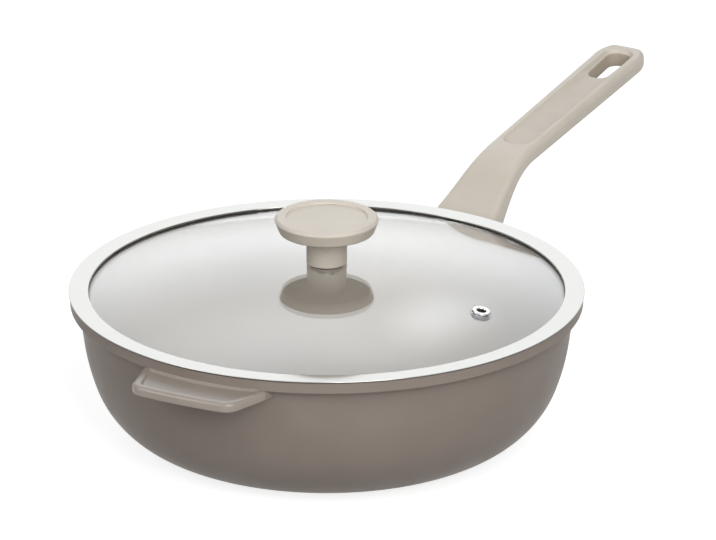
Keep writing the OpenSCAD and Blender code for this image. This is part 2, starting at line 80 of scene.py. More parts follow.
# Steps in a rounding on which light lies, and in an ordinary one
FINE, PLAIN = 12, 8
# Nearly all values of a noise pattern lie between these two
NOISE_LOW, NOISE_HIGH = 0.3, 0.7
# Radians that a wave pattern turns in one unit of length at a scale of 1
WAVE_RADIANS = 20.0
WHITE = (1.0, 1.0, 1.0, 1.0)


class Rider(Enum):
    """The rigid bodies that a piece can ride on."""

    PAN = "pan"
    LID = "lid"


class Grain(Enum):
    """How the surface of a metal was finished."""

    POLISHED = "polished"
    TURNED = "turned"


# Shapes


def blend_step(t: np.ndarray) -> np.ndarray:
    """Goes smoothly from 0 to 1 as t does: 3t^2 - 2t^3, held at both ends.

    Args:
        t: Values of any shape.

    Returns:
        An array of the same shape.
    """
    t = np.clip(t, 0.0, 1.0)
    return t * t * (3.0 - 2.0 * t)


def quarter(steps: int) -> np.ndarray:
    """Angles of a quarter turn in even steps, in radians."""
    return np.radians(np.linspace(0.0, 90.0, steps + 1))


def circle(steps: int) -> np.ndarray:
    """Angles of a whole turn in even steps, without the last, in radians."""
    return np.linspace(0.0, 2.0 * math.pi, steps, endpoint=False)


def arc(centre: Sequence[float], radius: float, start: float, end: float,
        steps: int) -> np.ndarray:
    """Points on an arc: centre + radius * (sin a, -cos a), with a counted from straight down.

    Args:
        centre: The arc's centre.
        radius: Its radius.
        start: First angle in degrees.
        end: Last angle in degrees.
        steps: Number of steps.

    Returns:
        An array of steps + 1 points.
    """
    a = np.radians(np.linspace(start, end, steps + 1))
    return np.asarray(centre, float) + radius * np.stack([np.sin(a), -np.cos(a)], -1)


def round_corner(a: Sequence[float], b: Sequence[float], c: Sequence[float], radius: float,
                 steps: int = PLAIN, lead: float = 0.15) -> np.ndarray:
    """Rounds the corner b between a and c by an arc that touches both sides.

    The arc's centre lies on the corner's bisector, radius / sin(half angle) from the corner.
    One more point is laid on each side just outside the arc, so that shading stays flat there.

    Args:
        a: Point before the corner.
        b: The corner.
        c: Point after the corner.
        radius: Radius of the rounding.
        steps: Steps in the arc.
        lead: How far outside the arc the two more points lie, as a share of the radius.

    Returns:
        An array of steps + 3 points.
    """
    a, b, c = (np.asarray(p, float) for p in (a, b, c))
    if radius <= 0.0:
        return b[None, :]
    u, v = (a - b) / np.linalg.norm(a - b), (c - b) / np.linalg.norm(c - b)
    half = math.acos(float(np.clip(u @ v, -1.0, 1.0))) / 2.0
    centre = b + (u + v) / np.linalg.norm(u + v) * radius / math.sin(half)
    reach = radius / math.tan(half)
    first, last = b + u * reach - centre, b + v * reach - centre
    start = math.atan2(first[1], first[0])
    turn = (math.atan2(last[1], last[0]) - start + 3.0 * math.pi) % (2.0 * math.pi) - math.pi
    angles = start + turn * np.linspace(0.0, 1.0, steps + 1)
    ring = centre + radius * np.stack([np.cos(angles), np.sin(angles)], -1)
    outside = reach + lead * radius
    return np.concatenate([[b + u * outside], ring, [b + v * outside]])


def rounded_outline(points: Points, radii: Sequence[float], steps: int = PLAIN) -> np.ndarray:
    """A closed outline whose every corner is rounded by round_corner.

    Args:
        points: The outline's corners in order.
        radii: One radius for each corner.
        steps: Steps in each rounding.

    Returns:
        The outline's points in order.
    """
    n = len(points)
    return np.concatenate([round_corner(points[i - 1], points[i], points[(i + 1) % n], radii[i],
                                        steps) for i in range(n)])


def rounded_path(points: Points, radii: Sequence[float], steps: int = PLAIN) -> np.ndarray:
    """An open path whose inner corners are rounded by round_corner, with its two ends kept.

    Args:
        points: The path's corners in order.
        radii: One radius for each inner corner.
        steps: Steps in each rounding.

    Returns:
        The path's points in order.
    """
    inner = [round_corner(points[i], points[i + 1], points[i + 2], radii[i], steps)
             for i in range(len(points) - 2)]
    return np.concatenate([[points[0]], *inner, [points[-1]]])


def moved(points: np.ndarray, place: Matrix) -> np.ndarray:
    """Points turned and shifted by a matrix: p -> R p + t.

    Args:
        points: Array of shape (..., 3).
        place: A 4 by 4 matrix.

    Returns:
        An array of the same shape.
    """
    m = np.array(place)
    return points @ m[:3, :3].T + m[:3, 3]


def grid_faces(rows: int, columns: int, wrap_rows: bool, wrap_columns: bool) -> np.ndarray:
    """Quads of a grid of points: each joins (i, j), (i, j+1), (i+1, j+1) and (i+1, j).

    Args:
        rows: Number of rows of points.
        columns: Number of points in a row.
        wrap_rows: Whether the last row joins the first.
        wrap_columns: Whether each row is closed.

    Returns:
        An integer array of shape (faces, 4).
    """
    i = np.arange(rows if wrap_rows else rows - 1)[:, None]
    j = np.arange(columns if wrap_columns else columns - 1)[None, :]
    k, m = (i + 1) % rows, (j + 1) % columns
    quads = [i * columns + j, i * columns + m, k * columns + m, k * columns + j]
    return np.stack(quads, -1).reshape(-1, 4)


def linked(name: str, data: bpy.types.ID) -> Thing:
    """Puts a new object into the scene.

    Args:
        name: Its name.
        data: The mesh, lamp or camera that it holds.

    Returns:
        The object, at the origin.
    """
    thing = bpy.data.objects.new(name, data)
    bpy.context.scene.collection.objects.link(thing)
    return thing


def shade(mesh: bpy.types.Mesh) -> None:
    """Shades a mesh smooth, but for its sharp edges."""
    mesh.shade_smooth()
    mesh.set_sharp_from_angle(angle=math.radians(SHARP_DEGREES))


def mesh_object(name: str, points: np.ndarray, faces: list[list[int]]) -> Thing:
    """An object of points and faces, with doubled points merged and faces turned outwards.

    Args:
        name: Name of the object.
        points: Array of shape (..., 3), in millimetres.
        faces: The faces, as numbers of points.

    Returns:
        The new object.
    """
    mesh = bpy.data.meshes.new(name)
    mesh.from_pydata((points.reshape(-1, 3) * MM).tolist(), [], faces)
    work = bmesh.new()
    work.from_mesh(mesh)
    bmesh.ops.remove_doubles(work, verts=work.verts, dist=MERGE_M)
    bmesh.ops.dissolve_degenerate(work, edges=work.edges, dist=MERGE_M)
    bmesh.ops.recalc_face_normals(work, faces=work.faces)
    work.to_mesh(mesh)
    work.free()
    shade(mesh)
    return linked(name, mesh)


def surface(name: str, points: np.ndarray, wrap_rows: bool = False, wrap_columns: bool = True,
            caps: bool = True) -> Thing:
    """A mesh through a grid of points, closed at both ends where asked.

    Args:
        name: Name of the object.
        points: Array of shape (rows, columns, 3), in millimetres.
        wrap_rows: Whether the last row joins the first.
        wrap_columns: Whether each row is closed.
        caps: Whether the first and last rows are closed by a face.

    Returns:
        The new object, at the origin.
    """
    rows, columns = points.shape[:2]
    faces = grid_faces(rows, columns, wrap_rows, wrap_columns).tolist()
    if caps and not wrap_rows:
        faces.append(list(range(columns)))
        faces.append(list(range((rows - 1) * columns, rows * columns)))
    return mesh_object(name, points, faces)


def revolve(name: str, profile: np.ndarray, turns: int, closed: bool = True,
            place: Matrix | None = None) -> Thing:
    """A surface of revolution about +Z: (r cos a, r sin a, z) for each profile point (r, z).

    Args:
        name: Name of the object.
        profile: Points (r, z). A profile that isn't closed starts and ends on the axis.
        turns: Steps round the axis.
        closed: Whether the profile's last point joins its first.
        place: Where the surface goes, in millimetres, if not on the axis.

    Returns:
        The new object.
    """
    a = circle(turns)[None, :]
    r, z = profile[:, 0][:, None], profile[:, 1][:, None]
    points = np.stack([r * np.cos(a), r * np.sin(a), z + 0.0 * a], -1)
    if place is not None:
        points = moved(points, place)
    return surface(name, points, wrap_rows=closed, caps=False)


def rod(name: str, radius: float, low: float, high: float, place: Matrix) -> Thing:
    """A plain cylinder about its own Z axis, as a tool for a bore.

    Args:
        name: Name of the object.
        radius: Its radius.
        low: Height of its lower end.
        high: Height of its upper end.
        place: Where it goes, in millimetres.

    Returns:
        The new object.
    """
    profile = np.array([(0.0, low), (radius, low), (radius, high), (0.0, high)])
    return revolve(name, profile, TURNS_BORE, closed=False, place=place)


def cut(thing: Thing, tools: Sequence[Thing]) -> None:
    """Takes closed shapes out of a piece and removes those shapes.

    Args:
        thing: The piece.
        tools: The shapes to take out.
    """
    for tool in tools:
        change = thing.modifiers.new("cut", "BOOLEAN")
        change.operation = "DIFFERENCE"
        change.solver = "MANIFOLD"
        change.object = tool
    bpy.context.view_layer.update()
    graph = bpy.context.evaluated_depsgraph_get()
    result = bpy.data.meshes.new_from_object(thing.evaluated_get(graph))
    thing.modifiers.clear()
    old = thing.data
    result.name = old.name
    thing.data = result
    bpy.data.meshes.remove(old)
    for tool in tools:
        bpy.data.objects.remove(tool)
    result.materials.clear()
    shade(result)


def join(name: str, things: Sequence[Thing]) -> Thing:
    """Makes one object of several meshes, each still closed by itself.

    Args:
        name: Name of the joined object.
        things: The objects, which are used up.

    Returns:
        The joined object.
    """
    work = bmesh.new()
    for thing in things:
        work.from_mesh(thing.data)
    mesh = bpy.data.meshes.new(name)
    work.to_mesh(mesh)
    work.free()
    for thing in things:
        bpy.data.objects.remove(thing)
    shade(mesh)
    return linked(name, mesh)


def face_middles(thing: Thing) -> np.ndarray:
    """Where the middles of an object's faces are.

    Args:
        thing: The object.

    Returns:
        An array of shape (faces, 3), in millimetres.
    """
    middles = np.zeros(len(thing.data.polygons) * 3)
    thing.data.polygons.foreach_get("center", middles)
    return middles.reshape(-1, 3) / MM


def set_zones(thing: Thing, zones: np.ndarray) -> None:
    """Gives each face of an object the material slot with its zone's number."""
    thing.data.polygons.foreach_set("material_index", zones.astype(np.int32))


# Finishes


def hex_colour(text: str) -> tuple[float, float, float, float]:
    """Turns an sRGB hex colour to linear light.

    Args:
        text: Six hex digits.

    Returns:
        Linear red, green, blue and an alpha of 1.
    """
    srgb = np.array([int(text[k:k + 2], 16) for k in (0, 2, 4)], float) / 255.0
    linear = np.where(srgb <= 0.04045, srgb / 12.92, ((srgb + 0.055) / 1.055) ** 2.4)
    return (*linear.tolist(), 1.0)


def per(size_mm: float) -> float:
    """Scale that gives a pattern a feature of this many millimetres on Object coordinates."""
    return 1.0 / (size_mm * MM)


def add_node(tree: Tree, kind: str, inputs: dict[Any, Any] | None = None,
             **settings: Any) -> bpy.types.Node:
    """Adds one node, sets it up and links it.

    Args:
        tree: The node tree.
        kind: The node's type name.
        inputs: Input name or number to a value, or to the socket that feeds it.
        settings: Attributes of the node.

    Returns:
        The node.
    """
    node = tree.nodes.new(kind)
    for key, value in settings.items():
        setattr(node, key, value)
    for key, value in (inputs or {}).items():
        if isinstance(value, bpy.types.NodeSocket):
            tree.links.new(value, node.inputs[key])
        else:
            node.inputs[key].default_value = value
    return node


def new_material(name: str) -> tuple[bpy.types.Material, Tree, Socket]:
    """A bare node material.

    Args:
        name: Its name.

    Returns:
        The material, its tree and the surface socket of its output.
    """
    material = bpy.data.materials.new(name)
    material.use_nodes = True
    tree = material.node_tree
    tree.nodes.clear()
    output = add_node(tree, "ShaderNodeOutputMaterial")
    return material, tree, output.inputs["Surface"]


def patches(tree: Tree, size_mm: float, detail: float, **more: float) -> Socket:
    """A soft noise of a real size, fixed to the piece.

    Args:
        tree: The node tree.
        size_mm: Size of a patch.
        detail: Octaves of finer patches.
        more: Other inputs of the noise.

    Returns:
        The value socket.
    """
    place = add_node(tree, "ShaderNodeTexCoord").outputs["Object"]
    noise = add_node(tree, "ShaderNodeTexNoise", {
        "Vector": place, "Scale": per(size_mm), "Detail": detail, **more})
    return noise.outputs["Fac"]


def mottle(tree: Tree, hex_low: str, hex_high: str, size_mm: float) -> Socket:
    """A colour that wanders softly between two hex colours.

    Args:
        tree: The node tree.
        hex_low: Colour at the pattern's low end.
        hex_high: Colour at its high end.
        size_mm: Size of a patch.

    Returns:
        The colour socket.
    """
    noise = patches(tree, size_mm, 3.0, Roughness=0.55)
    ramp = add_node(tree, "ShaderNodeValToRGB", {"Fac": noise})
    low, high = ramp.color_ramp.elements
    low.position, low.color = NOISE_LOW, hex_colour(hex_low)
    high.position, high.color = NOISE_HIGH, hex_colour(hex_high)
    return ramp.outputs["Color"]


def relief(tree: Tree, height: Socket, height_mm: float) -> Socket:
    """A relief of a real height.

    Args:
        tree: The node tree.
        height: The pattern, from 0 to 1.
        height_mm: Its height.

    Returns:
        The normal socket.
    """
    bump = add_node(tree, "ShaderNodeBump", {
        "Height": height, "Strength": 1.0, "Distance": height_mm * MM})
    return bump.outputs["Normal"]


def uneven(tree: Tree, low: float, high: float, size_mm: float) -> Socket:
    """A roughness that drifts between two values.

    Args:
        tree: The node tree.
        low: Lowest roughness.
        high: Highest roughness.
        size_mm: Size of a patch.

    Returns:
        The value socket.
    """
    spread = add_node(tree, "ShaderNodeMapRange", {
        "Value": patches(tree, size_mm, 4.0), "From Min": NOISE_LOW, "From Max": NOISE_HIGH,
        "To Min": low, "To Max": high})
    return spread.outputs["Result"]


def largest(tree: Tree, *values: Socket) -> Socket:
    """The largest of several values.

    Args:
        tree: The node tree.
        values: Two or more sockets.

    Returns:
        The value socket.
    """
    found = values[0]
    for value in values[1:]:
        both = add_node(tree, "ShaderNodeMath", {0: found, 1: value}, operation="MAXIMUM")
        found = both.outputs["Value"]
    return found


def seen(tree: Tree) -> Socket:
    """A value of 1 on rays from the camera, mirrored rays and rays through glass, else 0.

    Args:
        tree: The node tree.

    Returns:
        The value socket.
    """
    path = add_node(tree, "ShaderNodeLightPath").outputs
    return largest(tree, path["Is Camera Ray"], path["Is Glossy Ray"],
                   path["Is Transmission Ray"])


@dataclass(frozen=True)
class SatinCoat:
    """Sprayed satin lacquer or a moulded satin skin: one soft colour with a fine orange peel."""

    name: str
    hex_low: str
    hex_high: str
    rough_low: float
    rough_high: float
    patch_mm: float
    peel_mm: float
    peel_height_mm: float
    specular: float
    gloss_share: float = 0.7

    def make(self) -> bpy.types.Material:
        """Builds the material.

        Returns:
            The material, with gloss patches gloss_share the size of the colour's.
        """
        material, tree, out = new_material(self.name)
        gloss_mm = self.patch_mm * self.gloss_share
        shader = add_node(tree, "ShaderNodeBsdfPrincipled", {
            "Base Color": mottle(tree, self.hex_low, self.hex_high, self.patch_mm),
            "Roughness": uneven(tree, self.rough_low, self.rough_high, gloss_mm),
            "Normal": relief(tree, patches(tree, self.peel_mm, 2.0), self.peel_height_mm),
            "Specular IOR Level": self.specular})
        tree.links.new(shader.outputs["BSDF"], out)
        return material


@dataclass(frozen=True)
class Metal:
    """Bare metal, polished or turned on a lathe, which leaves fine rings about an axis.

    Polish leaves a faint long wave of wave_mm. Turning leaves a groove every ring_mm.
    """

    name: str
    hex_low: str
    hex_high: str
    rough_low: float
    rough_high: float
    grain: Grain = Grain.POLISHED
    patch_mm: float = 9.0
    smear_mm: float = 4.0
    wave_mm: float = 14.0
    ring_mm: float = 0.6
    height_mm: float = 0.004

    def pattern(self, tree: Tree) -> Socket:
        """The height of the metal's surface, from 0 to 1.

        Args:
            tree: The node tree.

        Returns:
            The value socket.
        """
        if self.grain is Grain.POLISHED:
            return patches(tree, self.wave_mm, 1.0)
        place = add_node(tree, "ShaderNodeTexCoord").outputs["Object"]
        rings = add_node(tree, "ShaderNodeTexWave", {
            "Vector": place, "Scale": per(self.ring_mm) * 2.0 * math.pi / WAVE_RADIANS,
            "Distortion": 0.4, "Detail": 2.0},
            wave_type="RINGS", rings_direction="Z", wave_profile="SIN")
        return rings.outputs["Fac"]

    def make(self) -> bpy.types.Material:
        """Builds the material.

        Returns:
            The material.
        """
        material, tree, out = new_material(self.name)
        shader = add_node(tree, "ShaderNodeBsdfPrincipled", {
            "Base Color": mottle(tree, self.hex_low, self.hex_high, self.patch_mm),
            "Roughness": uneven(tree, self.rough_low, self.rough_high, self.smear_mm),
            "Metallic": 1.0,
            "Normal": relief(tree, self.pattern(tree), self.height_mm)})
        tree.links.new(shader.outputs["BSDF"], out)
        return material


@dataclass(frozen=True)
class ClearGlass:
    """Tempered soda-lime glass: smooth and clear, with a mirror's gloss at low angles.

    Shadow and diffuse rays pass straight through it, so that the pan's inside is lit evenly.
    """

    name: str
    hex_tint: str
    ior: float = 1.5

    def make(self) -> bpy.types.Material:
        """Builds the material.

        Returns:
            The material.
        """
        material, tree, out = new_material(self.name)
        shader = add_node(tree, "ShaderNodeBsdfPrincipled", {
            "Base Color": hex_colour(self.hex_tint), "Roughness": 0.0, "IOR": self.ior,
            "Transmission Weight": 1.0})
        clear = add_node(tree, "ShaderNodeBsdfTransparent", {"Color": hex_colour(self.hex_tint)})
        path = add_node(tree, "ShaderNodeLightPath").outputs
        both = add_node(tree, "ShaderNodeMixShader", {
            "Fac": largest(tree, path["Is Shadow Ray"], path["Is Diffuse Ray"]),
            1: shader.outputs["BSDF"], 2: clear.outputs["BSDF"]})
        tree.links.new(both.outputs["Shader"], out)
        return material


@dataclass(frozen=True)
class StudioPaper:
    """White studio paper, which shows white itself and darkens where a shadow falls."""

    name: str
    hex_paper: str
    glow: float

    def make(self) -> bpy.types.Material:
        """Builds the material.

        Returns:
            The material.
        """
        material, tree, out = new_material(self.name)
        matt = add_node(tree, "ShaderNodeBsdfDiffuse", {"Color": hex_colour(self.hex_paper)})
        level = add_node(tree, "ShaderNodeMath", {0: seen(tree), 1: self.glow},
                         operation="MULTIPLY")
        glow = add_node(tree, "ShaderNodeEmission", {
            "Color": WHITE, "Strength": level.outputs["Value"]})
        both = add_node(tree, "ShaderNodeAddShader", {
            0: matt.outputs["BSDF"], 1: glow.outputs["Emission"]})
        tree.links.new(both.outputs["Shader"], out)
        return material


@dataclass(frozen=True)
class Finishes:
    """Every finish on the pan, named for what the real surface is, or for the painted light or
    shade it carries.

    A grain finer than the picture's pixels is drawn about twice as coarse as it is.
    """

    # Satin lacquer sprayed on cast aluminium: a warm grey-brown with a soft, wide sheen
    lacquer: SatinCoat = SatinCoat(
        "satin_taupe_lacquer", "877d75", "8c827a", rough_low=0.38, rough_high=0.46,
        patch_mm=40.0, peel_mm=1.1, peel_height_mm=0.004, specular=0.08)
    # The same lacquer on the tab, a shade lighter as painted light and glossier, so its rim catches
    # the light
    lit_tab_lacquer: SatinCoat = SatinCoat(
        "painted_light_taupe_lacquer", "90867d", "958b82", rough_low=0.28, rough_high=0.34,
        patch_mm=40.0, peel_mm=1.1, peel_height_mm=0.003, specular=0.5)
    # Sprayed sol-gel ceramic: paler and smoother than the lacquer
    ceramic: SatinCoat = SatinCoat(
        "ceramic_lining", "968f87", "9a938b", rough_low=0.45, rough_high=0.52,
        patch_mm=30.0, peel_mm=1.6, peel_height_mm=0.0006, specular=0.12)
    # Phenolic from a finely eroded mould: warm cream with an even grain
    cream: SatinCoat = SatinCoat(
        "satin_cream_phenolic", "ccc3b6", "d2c9bd", rough_low=0.36, rough_high=0.44,
        patch_mm=25.0, peel_mm=0.45, peel_height_mm=0.005, specular=0.3)
    # The scoop's floor, eroded more coarsely, so that it has less sheen than the rim round it
    scoop_cream: SatinCoat = SatinCoat(
        "eroded_cream_phenolic", "d1c8bc", "d7cec3", rough_low=0.5, rough_high=0.6,
        patch_mm=18.0, peel_mm=0.6, peel_height_mm=0.008, specular=0.2)
    # The slot's inside, left matt and drawn a shade deeper as painted shade of the slot's hollow
    shaded_slot_cream: SatinCoat = SatinCoat(
        "painted_shade_slot_phenolic", "b3a898", "b8ad9d", rough_low=0.6, rough_high=0.7,
        patch_mm=12.0, peel_mm=0.6, peel_height_mm=0.01, specular=0.15)
    # Heat-proof silicone under the glass, matt and near the pan's own colour
    silicone: SatinCoat = SatinCoat(
        "greige_silicone", "857e76", "8a837b", rough_low=0.55, rough_high=0.65,
        patch_mm=6.0, peel_mm=0.5, peel_height_mm=0.01, specular=0.3)
    # Black silicone of the seals, a thin dark line wherever it shows
    # On the ring's bead this black stands in as painted shade of the gap between ring and glass
    gap_shade_silicone: SatinCoat = SatinCoat(
        "seal_black_and_gap_shade", "2b2a29", "31302e", rough_low=0.5, rough_high=0.6,
        patch_mm=6.0, peel_mm=0.5, peel_height_mm=0.01, specular=0.3)
    # Pressed and polished stainless steel, near a mirror and a little greyer than silver
    ring_steel: Metal = Metal("polished_stainless_steel", "a7a5a1", "a9a7a3", 0.07, 0.078)
    # The ring's rolled lower edge, drawn dark as painted shade and painted reflection of the
    # collar: a thin dark line
    seam_shade_steel: Metal = Metal("shadowed_seam_steel", "373634", "3c3b39", 0.3, 0.4)
    # Nickel-bright steel of the rolled eyelet, with hard small highlights
    eyelet_steel: Metal = Metal("bright_eyelet_steel", "b0b0ae", "bababa", 0.05, 0.08)
    # Zinc-plated steel of the screws and washers: pale and half matt
    fastener: Metal = Metal("plated_screw_steel", "d0cecb", "d6d4d1", 0.42, 0.50)
    # Stainless plate pressed into the base and faced on a lathe, with a sheen across its rings
    plate: Metal = Metal("turned_induction_steel", "a9aaab", "b7b8b9", 0.26, 0.36, Grain.TURNED)
    # Machined aluminium of the base, left bare where the lacquer stops
    base: Metal = Metal("turned_base_aluminium", "b9b9b8", "c6c6c5", 0.26, 0.36, Grain.TURNED)
    # Turned brass of the knob's insert
    brass: Metal = Metal("turned_brass", "b99a55", "c8a862", 0.22, 0.32)
    # Clear tempered glass, through which the lining's colour shows almost unchanged
    glass: ClearGlass = ClearGlass("tempered_glass", "fefefd")


class Paintbox:
    """Makes each finish once and puts it on pieces."""

    def __init__(self) -> None:
        """Starts empty."""
        self.finishes = Finishes()
        self._made: dict[str, bpy.types.Material] = {}

    def get(self, name: str) -> bpy.types.Material:
        """The material of a finish.

        Args:
            name: A field of Finishes.

        Returns:
            The material, made on first use.
        """
        if name not in self._made:
            self._made[name] = getattr(self.finishes, name).make()
        return self._made[name]

    def paint(self, thing: Thing, *names: str) -> None:
        """Replaces an object's materials. The first covers every face that asks for no other.

        Args:
            thing: The object.
            names: Fields of Finishes, in slot order.
        """
        if thing.data.materials and len(names) == 1:
            for k in range(len(thing.data.materials)):
                thing.data.materials[k] = self.get(names[0])
            return
        thing.data.materials.clear()
        for name in names:
            thing.data.materials.append(self.get(name))


# The pan


@dataclass
class PanShape:
    """Sizes of the pan that more than one piece needs."""

    mouth_r: float = 138.0
    pan_h: float = 87.0
    wall_t: float = 3.2
    floor_t: float = 5.0
    bend_r: float = 53.0
    bend_angle: float = 70.0
    side_r: float = 125.0
    wall_angle: float = 82.0
    neck_t: float = 2.4
    collar_w: float = 7.2
    collar_h: float = 6.7
    lining_t: float = 0.3

    @property
    def collar_z(self) -> float:
        """Height of the collar's underside."""
        return self.pan_h - self.collar_h

    @property
    def collar_r(self) -> float:
        """Radius of the collar's outside."""
        return self.mouth_r + self.collar_w

    @property
    def bend_top_z(self) -> float:
        """Height where the bend ends."""
        return self.bend_r * (1.0 - math.cos(math.radians(self.bend_angle)))

    @property
    def side_top_z(self) -> float:
        """Height where the long curve ends and the straight wall begins."""
        a, b = math.radians(self.bend_angle), math.radians(self.wall_angle)
        return self.bend_top_z + self.side_r * (math.cos(a) - math.cos(b))

    @property
    def wall_top_r(self) -> float:
        """Radius of the wall's outside under the collar."""
        return self.mouth_r + self.neck_t

    @property
    def wall_low_r(self) -> float:
        """Radius where the straight wall begins."""
        rise = self.collar_z - self.side_top_z
        return self.wall_top_r - rise / math.tan(math.radians(self.wall_angle))

    @property
    def bend_top_r(self) -> float:
        """Radius where the bend ends."""
        a, b = math.radians(self.bend_angle), math.radians(self.wall_angle)
        return self.wall_low_r - self.side_r * (math.sin(b) - math.sin(a))

    @property
    def base_r(self) -> float:
        """Radius of the flat underside."""
        return self.bend_top_r - self.bend_r * math.sin(math.radians(self.bend_angle))

    @property
    def side_centre(self) -> tuple[float, float]:
        """Centre of the long curve."""
        a = math.radians(self.bend_angle)
        return (self.bend_top_r - self.side_r * math.sin(a),
                self.bend_top_z + self.side_r * math.cos(a))


@dataclass
class CastBody:
    """The cast body with its collar, helper tab and handle pad, and the lining inside it."""

    shape: PanShape
    skirt_low: float
    # Mouth and collar
    lid_play: float = 0.6
    ledge_lead: float = 8.0
    ledge_round: float = 0.5
    collar_edge: float = 0.8
    mouth_edge: float = 0.6
    collar_fillet: float = 1.2
    # The induction plate's recess and holes, and the base's metal that fills the holes
    plate_r: float = 74.0
    plate_t: float = 0.6
    plate_hole_r: float = 2.5
    plate_pitch: float = 14.0
    pip_play: float = 0.03
    pip_lap: float = 0.1
    pip_low: float = 0.02
    pip_turns: int = 20
    # Helper tab
    tab_reach: float = 24.5
    tab_root_half: float = 41.0
    tab_hide: float = 4.0
    tab_tip_half: float = 32.2
    tab_bow: float = 1.8
    tab_t: float = 5.6
    tab_corner_r: float = 9.0
    tab_edge: float = 2.3
    tab_low_edge: float = 1.1
    tab_border: float = 4.9
    tab_rise: float = 0.5
    tab_side_share: float = 0.7
    tab_low_rim: float = 0.6
    tab_top_rim: float = 0.3
    # Tray in the tab's top
    tray_depth: float = 1.4
    tray_side: float = 4.4
    tray_gap: float = 0.8
    tray_wall: float = 1.2
    tray_wall_out: float = 0.35
    tray_back: float = 0.3
    tray_tip_gain: float = 0.4
    tray_arc_share: float = 0.98
    tray_corner_share: float = 0.3
    tray_corner_least: float = 0.5
    tray_floor_rim: float = 0.4
    # Fillet between the tab and the collar
    fillet_r: float = 0.6
    fillet_clear: float = 0.02
    fillet_core: float = 0.6
    fillet_in: float = 1.6
    fillet_drop: float = 0.4
    fillet_cap: float = 0.1
    fillet_short: float = 2.6
    fillet_fade: float = 0.03
    fillet_taper: float = 0.98
    fillet_foot: float = 0.3
    # Margins by which the finishes are told apart
    bare_z: float = 0.3
    tab_paint_gap: float = 0.05
    # Steps along the bend and the long curve, inside and outside, and across the floor
    bend_steps: tuple[int, int] = (40, 48)
    side_steps: tuple[int, int] = (12, 14)
    floor_steps: int = 12
    # Points along the tab's sides, front, back, tray wall and fillet
    tab_side_points: int = 12
    tab_front_points: int = 17
    tab_back_points: int = 43
    tray_wall_points: int = 11
    fillet_points: int = 97

    def hollow(self, skin: float = 0.0) -> np.ndarray:
        """Profile of the pan's inside from the floor's middle to the mouth's ledge.

        A flat floor runs into an arc that touches it and the slope at the bend's top. A wider arc
        about the outside's own centre and a straight wall follow, each a wall's thickness in.

        Args:
            skin: Thickness of the lining to stay inside.

        Returns:
            Points (r, z).
        """
        s = self.shape
        wall, low, mouth = s.wall_t + skin, s.floor_t + skin, s.mouth_r - skin
        a, b = math.radians(s.bend_angle), math.radians(s.wall_angle)
        end = np.array([s.bend_top_r - wall * math.sin(a), s.bend_top_z + wall * math.cos(a)])
        r = (end[1] - low) / (1.0 - math.cos(a))
        ledge = self.skirt_low - self.lid_play

        def wall_in(z: float) -> float:
            """Radius of the straight wall's inside at a height."""
            rise = z - s.collar_z - wall * math.cos(b)
            return s.wall_top_r - wall * math.sin(b) + rise / math.tan(b)

        step = ledge - (mouth - wall_in(ledge))
        lead = step - self.ledge_lead
        bend = arc((end[0] - r * math.sin(a), low + r), r, 0.0, s.bend_angle,
                   self.bend_steps[0])
        side = arc(s.side_centre, s.side_r - wall, s.bend_angle, s.wall_angle,
                   self.side_steps[0])
        corner = rounded_path([(wall_in(lead), lead), (wall_in(step), step), (mouth, ledge),
                               (mouth, s.pan_h - self.collar_edge)],
                              [self.ledge_round] * 2, PLAIN // 2)
        across = np.linspace(0.0, bend[0, 0], self.floor_steps, endpoint=False)
        floor = np.stack([across, np.full_like(across, low)], -1)
        return np.concatenate([floor, bend, side[side[:, 0] > end[0] + SAME_MM], corner[1:]])

    def outside(self) -> np.ndarray:
        """Profile of the outside from the edge of the base's flat to the mouth's rounded edge.

        Two arcs, which meet at the bend's top, run into the straight wall and the square collar,
        whose corners are rounded.

        Returns:
            Points (r, z).
        """
        s = self.shape
        bend = arc((s.base_r, s.bend_r), s.bend_r, 0.0, s.bend_angle, self.bend_steps[1])
        side = arc(s.side_centre, s.side_r, s.bend_angle, s.wall_angle, self.side_steps[1])[1:]
        lip = rounded_path([side[-1], (s.wall_top_r, s.collar_z), (s.collar_r, s.collar_z),
                            (s.collar_r, s.pan_h), (s.mouth_r, s.pan_h),
                            (s.mouth_r, s.pan_h - self.collar_edge)],
                           [self.collar_fillet, self.collar_edge, self.collar_edge,
                            self.mouth_edge])
        return np.concatenate([bend, side, lip[1:-1]])

    def shell(self) -> Thing:
        """The turned casting: base, wall and collar, with the plate's recess in its underside.

        Its profile is the recess, the outside, and the hollow taken backwards.

        Returns:
            The new object.
        """
        recess = np.array([(0.0, self.plate_t), (0.5 * self.plate_r, self.plate_t),
                           (self.plate_r, self.plate_t), (self.plate_r, 0.0),
                           (0.5 * (self.plate_r + self.shape.base_r), 0.0)])
        profile = np.concatenate([recess, self.outside(), self.hollow()[::-1]])
        return revolve("shell", profile, TURNS_PAN, closed=False)

    def bowed(self, flat: np.ndarray) -> np.ndarray:
        """Bows the tab's front outwards.

        Each point moves back by bow * (y / half width) ** 2 * share, where the share runs from 0
        at the collar to 1 at the tip.

        Args:
            flat: Points (x, y).

        Returns:
            The moved points.
        """
        share = np.clip((-flat[:, 0] - self.shape.collar_r) / self.tab_reach, 0.0, 1.0)
        back = self.tab_bow * (flat[:, 1] / self.tab_tip_half) ** 2 * share
        return flat + np.stack([back, np.zeros_like(back)], -1)

